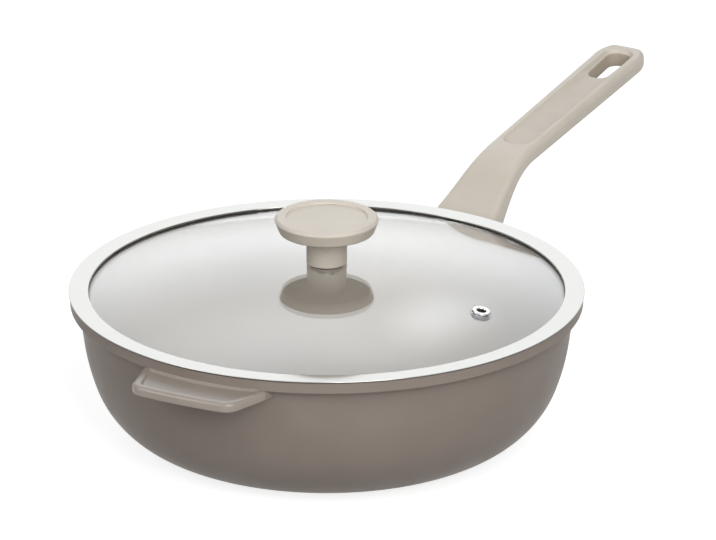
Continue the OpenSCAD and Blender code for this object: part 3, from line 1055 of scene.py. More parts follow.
    def plan(self, root: np.ndarray, tip: np.ndarray, radius: float) -> np.ndarray:
        """An outline of the tab's kind from above: a trapezium with round tips and a bowed front.

        The straight sides run from root to tip, and an arc about the pan's axis joins the roots.

        Args:
            root: The corner (x, y) at the collar, on the side where y is positive.
            tip: The corner at the tip on that side.
            radius: Radius of the tip's rounding.

        Returns:
            Points (x, y), always as many and in the same order.
        """
        flip = np.array([1.0, -1.0])
        share = np.linspace(0.0, self.tab_side_share, self.tab_side_points)
        side = root + (tip - root) * share[:, None]
        half = np.concatenate([side, round_corner(root, tip, tip * flip, radius, FINE)])
        over = np.linspace(1.0, -1.0, self.tab_front_points)[1:-1]
        front = half[-1] * np.stack([np.ones_like(over), over], -1)
        turned = math.atan2(root[1], -root[0])
        a = np.linspace(-turned, turned, self.tab_back_points)[1:-1]
        inner = float(np.linalg.norm(root)) * np.stack([-np.cos(a), np.sin(a)], -1)
        return self.bowed(np.concatenate([half, front, half[::-1] * flip, inner]))

    def tab_outline(self, inset: float) -> np.ndarray:
        """The tab from above, drawn in by inset, with its root hidden inside the wall.

        Args:
            inset: How far the outline is drawn in.

        Returns:
            Points (x, y).
        """
        s = self.shape
        root = np.array([-s.mouth_r + self.tab_hide, self.tab_root_half - inset])
        tip = np.array([-(s.collar_r + self.tab_reach) + inset, self.tab_tip_half - inset])
        return self.plan(root, tip, self.tab_corner_r - inset)

    def tray_outline(self, inset: float) -> np.ndarray:
        """The tray in the tab's top, whose back is an arc just clear of the collar.

        Its sides keep the slope of a border as wide at the root as at the tip.

        Args:
            inset: How far the outline is drawn in.

        Returns:
            Points (x, y), as many as tab_outline's and in the same order.
        """
        s = self.shape
        back = s.collar_r + self.tray_gap + inset
        y = self.tab_root_half - self.tray_side - inset
        tip = np.array([-(s.collar_r + self.tab_reach - self.tab_border) + inset,
                        self.tab_tip_half - self.tab_border - inset + self.tray_tip_gain])
        hidden = s.mouth_r - self.tab_hide
        y -= (y - tip[1]) * (self.tray_arc_share * back - hidden) / (-tip[0] - hidden)
        root = np.array([-math.sqrt(back * back - y * y), y])
        r = self.tab_corner_r - self.tab_border - self.tray_corner_share * inset
        return self.plan(root, tip, max(r, self.tray_corner_least))

    def tab(self) -> Thing:
        """The helper tab: outlines stacked up its edge, then down the soft sides of its tray.

        The tray's floor is a plane that falls from its back to its front.

        Returns:
            The new object.
        """
        s = self.shape
        high, e, f = s.collar_z + self.tab_rise, self.tab_edge, self.tab_low_edge
        low = high - self.tab_t
        t = np.linspace(0.0, 1.0, self.tray_wall_points)
        depth = self.tray_depth * blend_step(t)
        spread = self.tray_wall * (t - self.tray_wall_out)
        rings = [(self.tab_outline(f + self.tab_low_rim), low)]
        rings += [(self.tab_outline(f * (1.0 - math.sin(k))), low + f * (1.0 - math.cos(k)))
                  for k in quarter(PLAIN)]
        rings += [(self.tab_outline(e * (1.0 - math.cos(k))), high - e * (1.0 - math.sin(k)))
                  for k in quarter(PLAIN)]
        rings += [(self.tab_outline(e + self.tab_top_rim), high)]
        rings += [(self.tray_outline(spread[0] - self.tab_top_rim), high)]
        for w, d in [*zip(spread, depth), (spread[-1] + self.tray_floor_rim, self.tray_depth)]:
            flat = self.tray_outline(w)
            out = (-flat[:, 0] - s.mouth_r) / (s.collar_w + self.tab_reach - self.tab_border)
            fall = self.tray_back + (1.0 - self.tray_back) * out
            rings.append((flat, high - d * fall))
        points = np.stack([np.concatenate([flat, (z + 0.0 * flat[:, 0])[:, None]], -1)
                           for flat, z in rings])
        return surface("tab", points)

    def fillet(self) -> Thing:
        """The fillet between the tab's top and the collar: a hollow quarter round swept along it.

        It fills the groove under the collar's rounded lower edge over the tab's width, and shrinks
        into its core at both ends.

        Returns:
            The new object.
        """
        s, f = self.shape, self.fillet_r
        edge, foot = s.collar_r + self.fillet_clear, s.collar_z - self.fillet_drop
        k = quarter(PLAIN)
        curve = np.stack([edge + f * (1.0 - np.cos(k)), s.collar_z + self.tab_rise
                          + self.fillet_clear + f * (1.0 - np.sin(k))], -1)
        top = curve[0, 1] + self.fillet_cap
        inner, core = edge - self.fillet_in, edge - self.fillet_core
        profile = np.concatenate([[(inner, foot), (inner, top), (edge - self.fillet_cap, top)],
                                  curve, [(curve[-1, 0], foot)]])
        half = math.asin((self.tab_root_half - self.fillet_short) / s.collar_r)
        a = np.linspace(-half, half, self.fillet_points)[:, None]
        ending = blend_step((np.abs(a) - (half - self.fillet_fade)) / self.fillet_fade)
        fade = 1.0 - ending * self.fillet_taper
        reach, rise = profile[:, 0][None, :], profile[:, 1][None, :]
        r = core + (reach - core) * np.where(reach > core, fade, 1.0)
        z = foot + (rise - foot) * (self.fillet_foot + (1.0 - self.fillet_foot) * fade)
        return surface("fillet", np.stack([-r * np.cos(a), r * np.sin(a), z + 0.0 * a], -1))

    def pips(self) -> Thing:
        """The base's metal that fills the plate's holes: short discs on rings one pitch apart.

        Returns:
            The new object.
        """
        count = int((self.plate_r - self.plate_pitch) // self.plate_pitch)
        radii = [k * self.plate_pitch + self.plate_hole_r for k in range(1, count + 1)]
        holes = [int(2.0 * math.pi * r // self.plate_pitch) for r in radii]
        spots = np.concatenate([np.stack([np.full(n, r), circle(n)], -1)
                                for r, n in zip(radii, holes)])
        a = circle(self.pip_turns)
        edge = (self.plate_hole_r - self.pip_play) * np.stack([np.cos(a), np.sin(a)], -1)
        middle = spots[:, 0:1] * np.stack([np.cos(spots[:, 1]), np.sin(spots[:, 1])], -1)
        flat = middle[:, None, :] + edge[None, :, :]
        points = np.stack([np.concatenate([flat, np.full((*flat.shape[:2], 1), z)], -1)
                           for z in (self.plate_t + self.pip_lap, self.pip_low)], 1)
        walls = grid_faces(2, len(a), False, True)
        first = np.arange(len(spots)) * 2
        faces = (walls[None] + (first * len(a))[:, None, None]).reshape(-1, 4).tolist()
        faces += (np.arange(len(a))[None] + (first + 1)[:, None] * len(a)).tolist()
        return mesh_object("pips", points, faces)

    def build(self, paints: Paintbox, pad: Thing) -> list[Thing]:
        """Makes the body and its lining.

        Args:
            paints: The finishes.
            pad: The cast pad and tongue that the handle stands on.

        Returns:
            The new pieces.
        """
        inside = self.hollow(-0.5 * self.shape.wall_t)
        lidded = np.concatenate([inside, [(0.0, inside[-1, 1])]])
        cut(pad, [revolve("inside_tool", lidded, TURNS_WALL, closed=False)])
        body = join("cast_body", [self.shell(), self.tab(), self.fillet(), pad, self.pips()])
        # The tab's faces get a lighter copy of the lacquer as painted light
        paints.paint(body, "lacquer", "base", "lit_tab_lacquer")
        x, y, z = face_middles(body).T
        on_tab = (x < 0.0) & (np.hypot(x, y) > self.shape.collar_r + self.tab_paint_gap)
        set_zones(body, np.where(z < self.bare_z, 1, np.where(on_tab, 2, 0)))
        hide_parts("pan_body")
        profile = np.concatenate([self.hollow(), self.hollow(self.shape.lining_t)[::-1]])
        lining = revolve("ceramic_inside", profile, TURNS_PAN, closed=False)
        paints.paint(lining, "ceramic")
        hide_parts("ceramic_lining")
        return [body, lining]


@dataclass
class LongHandle:
    """The moulded handle: a tapering bar on a bent course, scooped on top, slotted at its tip."""

    shape: PanShape
    # Course
    root_slope: float = 32.0
    grip_slope: float = 6.2
    root_len: float = 52.0
    grip_len: float = 143.0
    bend_r: float = 78.0
    root_gap: float = 0.8
    # Section
    root_w: float = 47.6
    root_t: float = 22.2
    grip_w: float = 26.2
    grip_t: float = 10.6
    tip_gain: float = 4.2
    tip_round: float = 16.0
    tip_side: float = 12.0
    tip_nose: float = 5.0
    tip_left: float = 0.3
    top_edge: float = 3.4
    low_edge: float = 4.6
    root_edge: float = 0.7
    edge_share: float = 0.95
    width_fade: float = 1.6
    depth_fade: float = 1.8
    # Places of the sections along the course
    first_station: float = 1.4
    station_step: float = 0.62
    # Scoop
    scoop_half: float = 9.4
    scoop_depth: float = 2.2
    scoop_len: float = 137.0
    scoop_corner: float = 7.5
    scoop_wall: float = 1.7
    scoop_bow: float = 0.35
    scoop_bowl: float = 0.4
    bow_gap: float = 4.0
    bow_fade: float = 16.0
    bowl_gap: float = 1.0
    bowl_fade: float = 22.0
    # Hanging slot
    slot_len: float = 34.0
    slot_half: float = 7.2
    slot_taper: float = 1.2
    slot_to_tip: float = 9.5
    slot_corner: float = 5.5
    slot_edge: float = 0.7
    slot_first_degrees: float = 10.0
    slot_flare: float = 0.25
    slot_out: float = 2.0
    # Screw, and the tongue of the pan in its socket
    screw_at: float = 16.0
    screw_seat: float = 5.95
    seat_edge: float = 0.3
    counterbore_r: float = 5.6
    bore_r: float = 2.8
    bore_top: float = 2.0
    overrun: float = 3.0
    tongue_len: float = 34.0
    tongue_w: float = 24.0
    tongue_t: float = 8.0
    tongue_play: float = 0.15
    tongue_corner: float = 3.0
    tongue_root_corner: float = 0.2
    tongue_back: float = 10.0
    socket_back: float = 5.0
    tongue_hole_r: float = 2.5
    hole_past: float = 1.0
    # Pad of the pan under the handle's end
    pad_inset: float = 0.8
    pad_edge: float = 0.6
    pad_lead: float = 0.4
    pad_back: float = 30.0
    # Margins by which the finishes are told apart
    zone_gap: float = 0.1
    zone_skin: float = 0.05
    zone_depth: float = 0.6
    zone_reach: float = 1.0
    # Points across the underside, up a side and across the top, and round the slot's mouths
    low_points: int = 25
    side_points: int = 6
    top_points: int = 97
    mouth_points: int = 9
    # Steps in the root's, the tip's, the tongue's and the pad's roundings
    root_steps: int = 4
    tip_steps: int = 45
    tongue_steps: int = 6
    pad_steps: int = 5

    @property
    def root_point(self) -> np.ndarray:
        """Where the handle's middle line leaves the pad, as (x, z)."""
        return np.array([self.shape.collar_r + self.root_gap, self.shape.side_top_z])

    @property
    def bend_len(self) -> float:
        """Length of the bend along the middle line."""
        return self.bend_r * math.radians(self.root_slope - self.grip_slope)

    @property
    def length(self) -> float:
        """Length of the whole middle line."""
        return self.root_len + self.bend_len + self.grip_len

    @property
    def slot_at(self) -> float:
        """Place of the slot's middle along the handle."""
        return self.length - self.slot_to_tip - self.slot_len / 2.0

    @property
    def scoop_floor(self) -> float:
        """Height of the scoop's floor above the grip's middle line."""
        return self.grip_t / 2.0 - self.scoop_depth

    @property
    def grip_axes(self) -> tuple[np.ndarray, np.ndarray]:
        """Directions along the grip and square to it, upwards."""
        g = math.radians(self.grip_slope)
        return (np.array([math.cos(g), 0.0, math.sin(g)]),
                np.array([-math.sin(g), 0.0, math.cos(g)]))

    def slope(self, s: np.ndarray) -> np.ndarray:
        """Slope of the middle line in radians: steady, then turning evenly, then steady."""
        share = np.clip((s - self.root_len) / self.bend_len, 0.0, 1.0)
        return np.radians(self.root_slope + (self.grip_slope - self.root_slope) * share)

    def course(self, s: np.ndarray) -> np.ndarray:
        """Points (x, z) of the middle line: a straight run, an arc and another straight run.

        Args:
            s: Distances from the root.

        Returns:
            Array with one more axis of 2.
        """
        a, g = math.radians(self.root_slope), math.radians(self.grip_slope)
        root, grip = np.array([math.cos(a), math.sin(a)]), np.array([math.cos(g), math.sin(g)])
        start = self.root_point + self.root_len * root
        centre = start + self.bend_r * np.array([math.sin(a), -math.cos(a)])
        now = self.slope(s)
        straight = self.root_point + s[..., None] * root
        bent = centre + self.bend_r * np.stack([-np.sin(now), np.cos(now)], -1)
        past = np.maximum(s - self.root_len - self.bend_len, 0.0)[..., None] * grip
        return np.where((s <= self.root_len)[..., None], straight, bent + past)

    def place(self, s: np.ndarray, y: np.ndarray, up: np.ndarray) -> np.ndarray:
        """Puts points given along, across and above the middle line into the pan's frame.

        Args:
            s: Distances along.
            y: Distances across.
            up: Heights square to the middle line.

        Returns:
            Points (x, y, z).
        """
        a, p = self.slope(s), self.course(s)
        return np.stack([p[..., 0] - up * np.sin(a), y + 0.0 * s, p[..., 1] + up * np.cos(a)], -1)

    @staticmethod
    def end_cut(distance: np.ndarray, along: float, side: float) -> np.ndarray:
        """What an elliptical end takes off: side * (1 - sqrt(1 - (1 - distance / along)^2))."""
        share = np.clip(1.0 - distance / along, 0.0, 1.0)
        return side * (1.0 - np.sqrt(1.0 - share * share))

    def fade(self, s: np.ndarray, power: float) -> np.ndarray:
        """How much of the root's extra size is left at s: (1 - s / flare length)^power."""
        return (1.0 - np.clip(s / (self.root_len + self.bend_len), 0.0, 1.0)) ** power

    def half_width(self, s: np.ndarray) -> np.ndarray:
        """Half the handle's width, fading from the root's to the grip's and rounded at the tip.

        Args:
            s: Distances along.

        Returns:
            Half widths.
        """
        flare = (self.root_w - self.grip_w) * self.fade(s, self.width_fade)
        wide = self.grip_w + self.tip_gain * s / self.length + flare
        return wide / 2.0 - self.end_cut(self.length - s, self.tip_round, self.tip_side)

    def half_depth(self, s: np.ndarray) -> np.ndarray:
        """Half the handle's thickness, fading in the same way and rounded at the tip's nose.

        Args:
            s: Distances along.

        Returns:
            Half thicknesses.
        """
        deep = (self.grip_t + (self.root_t - self.grip_t) * self.fade(s, self.depth_fade)) / 2.0
        nose = self.grip_t / 2.0 - self.tip_left
        return deep - self.end_cut(self.length - s, self.tip_nose, nose)

    def scoop(self, s: np.ndarray, y: np.ndarray) -> np.ndarray:
        """Depth of the scoop at a place on the handle's top.

        The distance d inside a rectangle with round corners goes through blend_step over the
        width of the scoop's wall. Before the slot this is mixed with a bowl, 1 - (1 - d / half
        width)^2, and a shallow bow across is added, both fading towards the slot.

        Args:
            s: Distances along.
            y: Distances across.

        Returns:
            Depths, 0 outside the scoop.
        """
        end = self.length - self.slot_to_tip + self.scoop_half - self.slot_half
        middle, half_len = end - self.scoop_len / 2.0, self.scoop_len / 2.0
        qx = np.abs(s - middle) - (half_len - self.scoop_corner)
        qy = np.abs(y) - (self.scoop_half - self.scoop_corner)
        outer = np.hypot(np.maximum(qx, 0.0), np.maximum(qy, 0.0))
        inside = self.scoop_corner - outer - np.minimum(np.maximum(qx, qy), 0.0)
        before = self.slot_at - self.slot_len / 2.0 - s
        arch = np.clip(1.0 - (y / self.scoop_half) ** 2, 0.0, 1.0)
        bow = self.scoop_bow * arch * blend_step((before - self.bow_gap) / self.bow_fade)
        bowl = self.scoop_bowl * blend_step((before - self.bowl_gap) / self.bowl_fade)
        round_in = 1.0 - (1.0 - np.clip(inside / self.scoop_half, 0.0, 1.0)) ** 2
        flat_in = blend_step(inside / self.scoop_wall)
        return (self.scoop_depth + bow) * ((1.0 - bowl) * flat_in + bowl * round_in)

    def stations(self) -> np.ndarray:
        """Places of the cross-sections: close at the root's edge, even, then closing on the tip.

        Returns:
            Distances along.
        """
        start = self.root_edge * (1.0 - np.cos(quarter(self.root_steps)))
        even = np.arange(self.first_station, self.length - self.tip_round, self.station_step)
        tip = self.length - self.tip_round * (1.0 - np.sin(quarter(self.tip_steps)))
        return np.concatenate([start, even, tip])

    def bar(self) -> Thing:
        """The handle before it is slotted: a rounded rectangle swept along the course.

        Going round each section come the flat underside, a corner arc, the side, a corner arc,
        the top with the scoop's depth taken off, and the same back down the other side.

        Returns:
            The new object.
        """
        s, e = self.stations()[:, None], self.root_edge
        root = e - np.sqrt(np.maximum(e ** 2 - (e - np.minimum(s, e)) ** 2, 0.0))
        half, up = self.half_width(s) - root, self.half_depth(s) - root
        most = np.minimum(up, half) * self.edge_share
        top, low = np.minimum(self.top_edge, most), np.minimum(self.low_edge, most)
        u = np.linspace(0.0, 1.0, self.low_points)[None, :-1]
        a = quarter(FINE)[None, :-1]
        side = np.linspace(0.0, 1.0, self.side_points)[None, :-1]
        across = (half - top) * np.linspace(1.0, -1.0, self.top_points)[None, :-1]
        tall = 2.0 * up - low - top
        parts_y = [(half - low) * (2.0 * u - 1.0), half - low + low * np.sin(a), half + 0.0 * side,
                   half - top + top * np.cos(a), across, top - half - top * np.sin(a),
                   0.0 * side - half, low - half - low * np.cos(a)]
        parts_up = [0.0 * u - up, low - up - low * np.cos(a), low - up + tall * side,
                    up - top + top * np.sin(a), up - self.scoop(s + 0.0 * across, across),
                    up - top + top * np.cos(a), up - top - tall * side,
                    low - up - low * np.sin(a)]
        y, z = np.concatenate(parts_y, 1), np.concatenate(parts_up, 1)
        return surface("moulded_handle", self.place(s + 0.0 * y, y, z))

    def slot_tool(self) -> Thing:
        """The slot as a solid: its outline grows by a quarter round at both mouths, then runs out.

        Returns:
            The new object.
        """
        half, inner, e = self.slot_len / 2.0, self.slot_half - self.slot_taper, self.slot_edge
        under = -self.grip_t / 2.0
        a = np.radians(np.linspace(self.slot_first_degrees, 90.0, self.mouth_points))
        grow, rise = e * (1.0 - np.sin(a)), e * np.cos(a)
        out = [(grow[0] + self.slot_flare, self.slot_out), *zip(grow, rise - e)]
        rings = [(g, under - r) for g, r in out] + [(g, self.scoop_floor + r) for g, r in out[::-1]]

        def ring(g: float, up: float) -> np.ndarray:
            """One outline grown by g at a height, laid along the grip's straight run.

            Args:
                g: How far the outline is grown.
                up: Its height square to the grip.

            Returns:
                Points (x, y, z).
            """
            x, y = rounded_outline(
                [(-half - g, -inner - g), (half + g, -self.slot_half - g),
                 (half + g, self.slot_half + g), (-half - g, inner + g)],
                [self.slot_corner + g] * 4, FINE).T
            flat = self.place(self.slot_at + 0.0 * x, y, np.full(len(x), up))
            return flat + x[:, None] * self.grip_axes[0]

        return surface("slot_tool", np.stack([ring(g, up) for g, up in rings]))

    def zones(self, handle: Thing) -> np.ndarray:
        """Sorts the faces by finish: those in the slot, which get painted shade, those in the scoop
        and the others.

        Args:
            handle: The slotted handle.

        Returns:
            The number of a material slot for each face.
        """
        spot = face_middles(handle)
        start = self.place(np.array([self.slot_at]), np.zeros(1), np.zeros(1))[0]
        along, up = ((spot - start) @ axis for axis in self.grip_axes)
        margin, floor = self.slot_edge + self.zone_gap, self.scoop_floor
        slotted = ((np.abs(along) < self.slot_len / 2.0 + margin)
                   & (np.abs(spot[:, 1]) < self.slot_half + margin)
                   & (up < floor - self.zone_skin) & (up > self.zone_skin - self.grip_t / 2.0))
        scooped = ((self.scoop(self.slot_at + along, spot[:, 1]) > self.zone_depth)
                   & (up > floor - self.zone_reach) & ~slotted)
        return np.where(slotted, 1, np.where(scooped, 2, 0))

    def root_frame(self, along: float = 0.0) -> Matrix:
        """Matrix whose X runs along the root and whose Z is square to it, in millimetres.

        Args:
            along: Distance of its origin from the root.

        Returns:
            A 4 by 4 matrix.
        """
        x, z = self.root_point
        turn = Matrix.Rotation(-math.radians(self.root_slope), 4, "Y")
        return (Matrix.Translation(Vector((x, 0.0, z))) @ turn
                @ Matrix.Translation(Vector((along, 0.0, 0.0))))

    def bore_tool(self) -> Thing:
        """The counterbore for the handle screw, chamfered a little at its seat, and its bore.

        Returns:
            The new object.
        """
        depth = self.half_depth(np.array([self.screw_at]))[0] + self.overrun
        r, seat = self.counterbore_r, -self.screw_seat
        profile = np.array([(0.0, -depth), (r, -depth), (r, seat - self.seat_edge),
                            (r - self.seat_edge, seat), (self.bore_r, seat),
                            (self.bore_r, -self.bore_top), (0.0, -self.bore_top)])
        return revolve("bore_tool", profile, TURNS_SEAT, closed=False,
                       place=self.root_frame(self.screw_at))

    def block(self, name: str, grow: float, start: float) -> Thing:
        """The tongue's shape: a flat bar with round end corners, lying along the root.

        Args:
            name: Name of the object.
            grow: How much it is grown all round.
            start: Where it begins along the root.

        Returns:
            The new object.
        """
        half, end = self.tongue_w / 2.0 + grow, self.tongue_len + grow
        up, near, far = self.tongue_t / 2.0 + grow, self.tongue_root_corner, self.tongue_corner
        flat = rounded_outline([(start, -half), (end, -half), (end, half), (start, half)],
                               [near, far, far, near], self.tongue_steps)
        rings = [np.concatenate([flat, np.full((len(flat), 1), z)], -1) for z in (-up, up)]
        return surface(name, moved(np.stack(rings), self.root_frame()))

    def pad(self) -> Thing:
        """The cast pad under the handle's end, drawn back into the wall, and the tongue on it.

        The pad is the handle's end section, drawn in and swept back, with a quarter round edge.

        Returns:
            The new object.
        """
        e, s0 = self.pad_edge, np.array([0.0])
        half = self.half_width(s0)[0] - self.pad_inset
        up = self.half_depth(s0)[0] - self.pad_inset
        turn = quarter(self.pad_steps)
        steps = [(-self.pad_back, 0.0), (-e - self.pad_lead, 0.0),
                 *zip(e * np.sin(turn) - e, e * (1.0 - np.cos(turn)))]
        radii = [self.low_edge, self.low_edge, self.top_edge, self.top_edge]
        rings = []
        for along, draw in steps:
            h, v = half - draw, up - draw
            flat = rounded_outline([(-h, -v), (h, -v), (h, v), (-h, v)], radii)
            rings.append(np.stack([np.full(len(flat), along), flat[:, 0], flat[:, 1]], -1))
        stem = surface("pad", moved(np.stack(rings), self.root_frame()))
        tongue = self.block("tongue", 0.0, -self.tongue_back)
        past = self.tongue_t / 2.0 + self.hole_past
        cut(tongue, [rod("hole_tool", self.tongue_hole_r, -past, past,
                         self.root_frame(self.screw_at))])
        return join("pad", [stem, tongue])

    def build(self, paints: Paintbox) -> Thing:
        """Makes the handle.

        Args:
            paints: The finishes.

        Returns:
            The new piece.
        """
        handle = self.bar()
        socket = self.block("socket", self.tongue_play, -self.socket_back)
        cut(handle, [self.slot_tool(), self.bore_tool(), socket])
        # The slot's faces get a darker cream as painted shade
        paints.paint(handle, "cream", "shaded_slot_cream", "scoop_cream")
        set_zones(handle, self.zones(handle))
        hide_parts("main_handle")
        return handle


# The lid


@dataclass
class LidShape:
    """Sizes of the lid that more than one piece needs."""

    pan: PanShape
    lid_play: float = 0.6
    glass_t: float = 4.0
    dome_r: float = 515.0
    ring_sheet: float = 0.5
    ring_t: float = 1.0
    ring_over: float = 0.8
    ring_grip: float = 1.7
    bead_t: float = 0.3
    lip_h: float = 1.6
    lip_t: float = 0.6

    @property
    def ring_top(self) -> float:
        """Height of the ring's flat top."""
        return self.pan.pan_h + self.ring_t

    @property
    def skirt_r(self) -> float:
        """Radius of the skirt's outside."""
        return self.pan.mouth_r - self.lid_play

    @property
    def channel_r(self) -> float:
        """Radius of the channel's outer side."""
        return self.skirt_r - self.ring_sheet

    @property
    def glass_r(self) -> float:
        """Radius of the glass."""
        return self.channel_r - self.bead_t

    @property
    def ring_in_r(self) -> float:
        """Radius of the ring's opening."""
        return self.glass_r - self.ring_grip

    @property
    def dome_z(self) -> float:
        """Height of the dome's centre."""
        return self.ring_top - self.lip_h - math.sqrt(self.dome_r ** 2 - self.ring_in_r ** 2)

    @property
    def apex_z(self) -> float:
        """Height of the dome's top."""
        return self.dome_z + self.dome_r

    def high(self, r: np.ndarray) -> np.ndarray:
        """Heights of the glass's upper face at radii r."""
        return self.dome_z + np.sqrt(self.dome_r ** 2 - r * r)

    def low(self, r: np.ndarray) -> np.ndarray:
        """Heights of the glass's lower face at radii r."""
        return self.dome_z + np.sqrt((self.dome_r - self.glass_t) ** 2 - r * r)

    def bead_low(self, r: float) -> float:
        """Height of the underside of the silicone bead below the glass at radius r."""
        return float(self.low(np.array(r))) - self.bead_t

    @property
    def skirt_low(self) -> float:
        """Lowest point of the ring."""
        return self.bead_low(self.glass_r) - self.ring_sheet


@dataclass
class SteamVent:
    """The steel eyelet that lets steam out through the glass."""

    lid: LidShape
    vent_at: float = 101.5
    vent_turn: float = 92.0
    vent_r: float = 2.6
    flange_r: float = 5.35
    flange_t: float = 0.9
    flange_lean: float = 0.25
    wall: float = 0.8
    play: float = 0.2
    gasket_t: float = 1.0
    seat_gap: float = 0.02
    roll_in_r: float = 0.75
    roll_out_r: float = 0.55
    seat_edge: float = 0.06
    barrel_edge: float = 0.05
    overrun: float = 2.0

    def place(self) -> Matrix:
        """Where the vent stands: +Z square to the dome, with the origin on the glass.

        Returns:
            A 4 by 4 matrix.
        """
        tilt = math.asin(self.vent_at / self.lid.dome_r)
        return (Matrix.Translation(Vector((0.0, 0.0, self.lid.dome_z)))
                @ Matrix.Rotation(-math.radians(self.vent_turn), 4, "Z")
                @ Matrix.Rotation(tilt, 4, "Y")
                @ Matrix.Translation(Vector((0.0, 0.0, self.lid.dome_r))))

    def hole_tool(self) -> Thing:
        """The eyelet's hole in the glass, as a solid."""
        return rod("vent_tool", self.vent_r + self.wall + self.play,
                   -self.lid.glass_t - self.overrun, self.overrun, self.place())

    def build(self, paints: Paintbox) -> Thing:
        """Makes the eyelet: a barrel whose ends are rolled over into round flanges.

        Args:
            paints: The finishes.

        Returns:
            The new piece.
        """
        low, top = -self.lid.glass_t - self.gasket_t, self.seat_gap
        barrel, t, rim = self.vent_r + self.wall, self.flange_t, self.flange_r - self.flange_lean
        upper = [(self.vent_r, t), (rim, t), (self.flange_r, top), (barrel, top)]
        lower = [(barrel, low - top), (self.flange_r, low - top), (rim, low - t),
                 (self.vent_r, low - t)]
        radii = [self.roll_in_r, self.roll_out_r, self.seat_edge, self.barrel_edge]
        profile = rounded_outline(upper + lower, radii + radii[::-1])
        eyelet = revolve("rolled_vent_eyelet", profile, TURNS_VENT, place=self.place())
        paints.paint(eyelet, "eyelet_steel")
        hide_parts("vent_eyelet")
        return eyelet


@dataclass
class GlassLid:
    """The domed glass and the rolled steel ring round it."""

    lid: LidShape
    hole_r: float = 3.8
    dome_points: int = 70
    # The ring's edges and the roundings of its rolled sheet
    edge: float = 0.3
    lip_edge: float = 0.12
    inner_edge: float = 0.4
    seam_edge: float = 0.3
    foot_edge: float = 0.24
    toe_edge: float = 0.22
    channel_edge: float = 0.05
    fold_edge: float = 0.1
    # The flange's outer part, which stands clear of the collar
    seam_in: float = 4.6
    seam_slope: float = 0.9
    seam_lift: float = 0.25
    # Height up to which the rolled lower edge is painted dark as shade
    seam_shade_h: float = 0.38
    # How far the lip's foot stands above the glass, where the bead shows, black as painted shade of
    # the gap
    seal: float = 0.45

    def glass(self, paints: Paintbox, vent: SteamVent) -> Thing:
        """Makes the glass: two spheres' caps a glass thickness apart, holed for knob and vent.

        Args:
            paints: The finishes.
            vent: The vent, for its hole.

        Returns:
            The new piece.
        """
        r = np.linspace(self.hole_r, self.lid.glass_r, self.dome_points)
        profile = np.concatenate([np.stack([r, self.lid.low(r)], -1),
                                  np.stack([r, self.lid.high(r)], -1)[::-1]])
        pane = revolve("domed_glass", profile, TURNS_PAN)
        cut(pane, [vent.hole_tool()])
        paints.paint(pane, "glass")
        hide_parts("lid_glass")
        return pane

    def ring(self, paints: Paintbox) -> Thing:
        """Makes the ring: flat flange, inner lip over the seal, skirt and lower lip.

        The flange's outer part stands seam_lift clear of the collar, and its rolled lower edge is
        painted dark up to its shade height, as painted shade and painted reflection of the collar.

        Args:
            paints: The finishes.

        Returns:
            The new piece.
        """
        d = self.lid
        top, grip, rest = d.ring_top, d.ring_in_r, d.pan.pan_h
        out, clear = d.pan.collar_r + d.ring_over, rest + self.seam_lift
        foot, fold, seam = top - d.lip_h + self.seal, top - d.ring_sheet, out - self.seam_in
        profile = [((grip, foot), self.lip_edge), ((grip, top), self.inner_edge),
                   ((out, top), self.edge), ((out, clear), self.edge),
                   ((seam, clear), self.seam_edge),
                   ((seam - self.seam_slope, rest), self.seam_edge),
                   ((d.skirt_r, rest), self.seam_edge), ((d.skirt_r, d.skirt_low), self.foot_edge),
                   ((grip, d.bead_low(grip) - d.ring_sheet), self.toe_edge),
                   ((grip, d.bead_low(grip)), self.channel_edge),
                   ((d.channel_r, d.bead_low(d.channel_r)), self.channel_edge),
                   ((d.channel_r, fold), self.fold_edge), ((grip + d.lip_t, fold), self.fold_edge),
                   ((grip + d.lip_t, foot), self.lip_edge)]
        corners, radii = zip(*profile)
        ring = revolve("rolled_lid_ring", rounded_outline(corners, radii), TURNS_PAN)
        # Faces of the rolled lower edge get the dark steel as painted shade and painted reflection
        paints.paint(ring, "ring_steel", "seam_shade_steel")
        x, y, z = face_middles(ring).T
        set_zones(ring, (np.hypot(x, y) > out - 0.5 * self.seam_in) & (z < clear + self.seam_shade_h))
        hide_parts("lid_ring")
        return ring


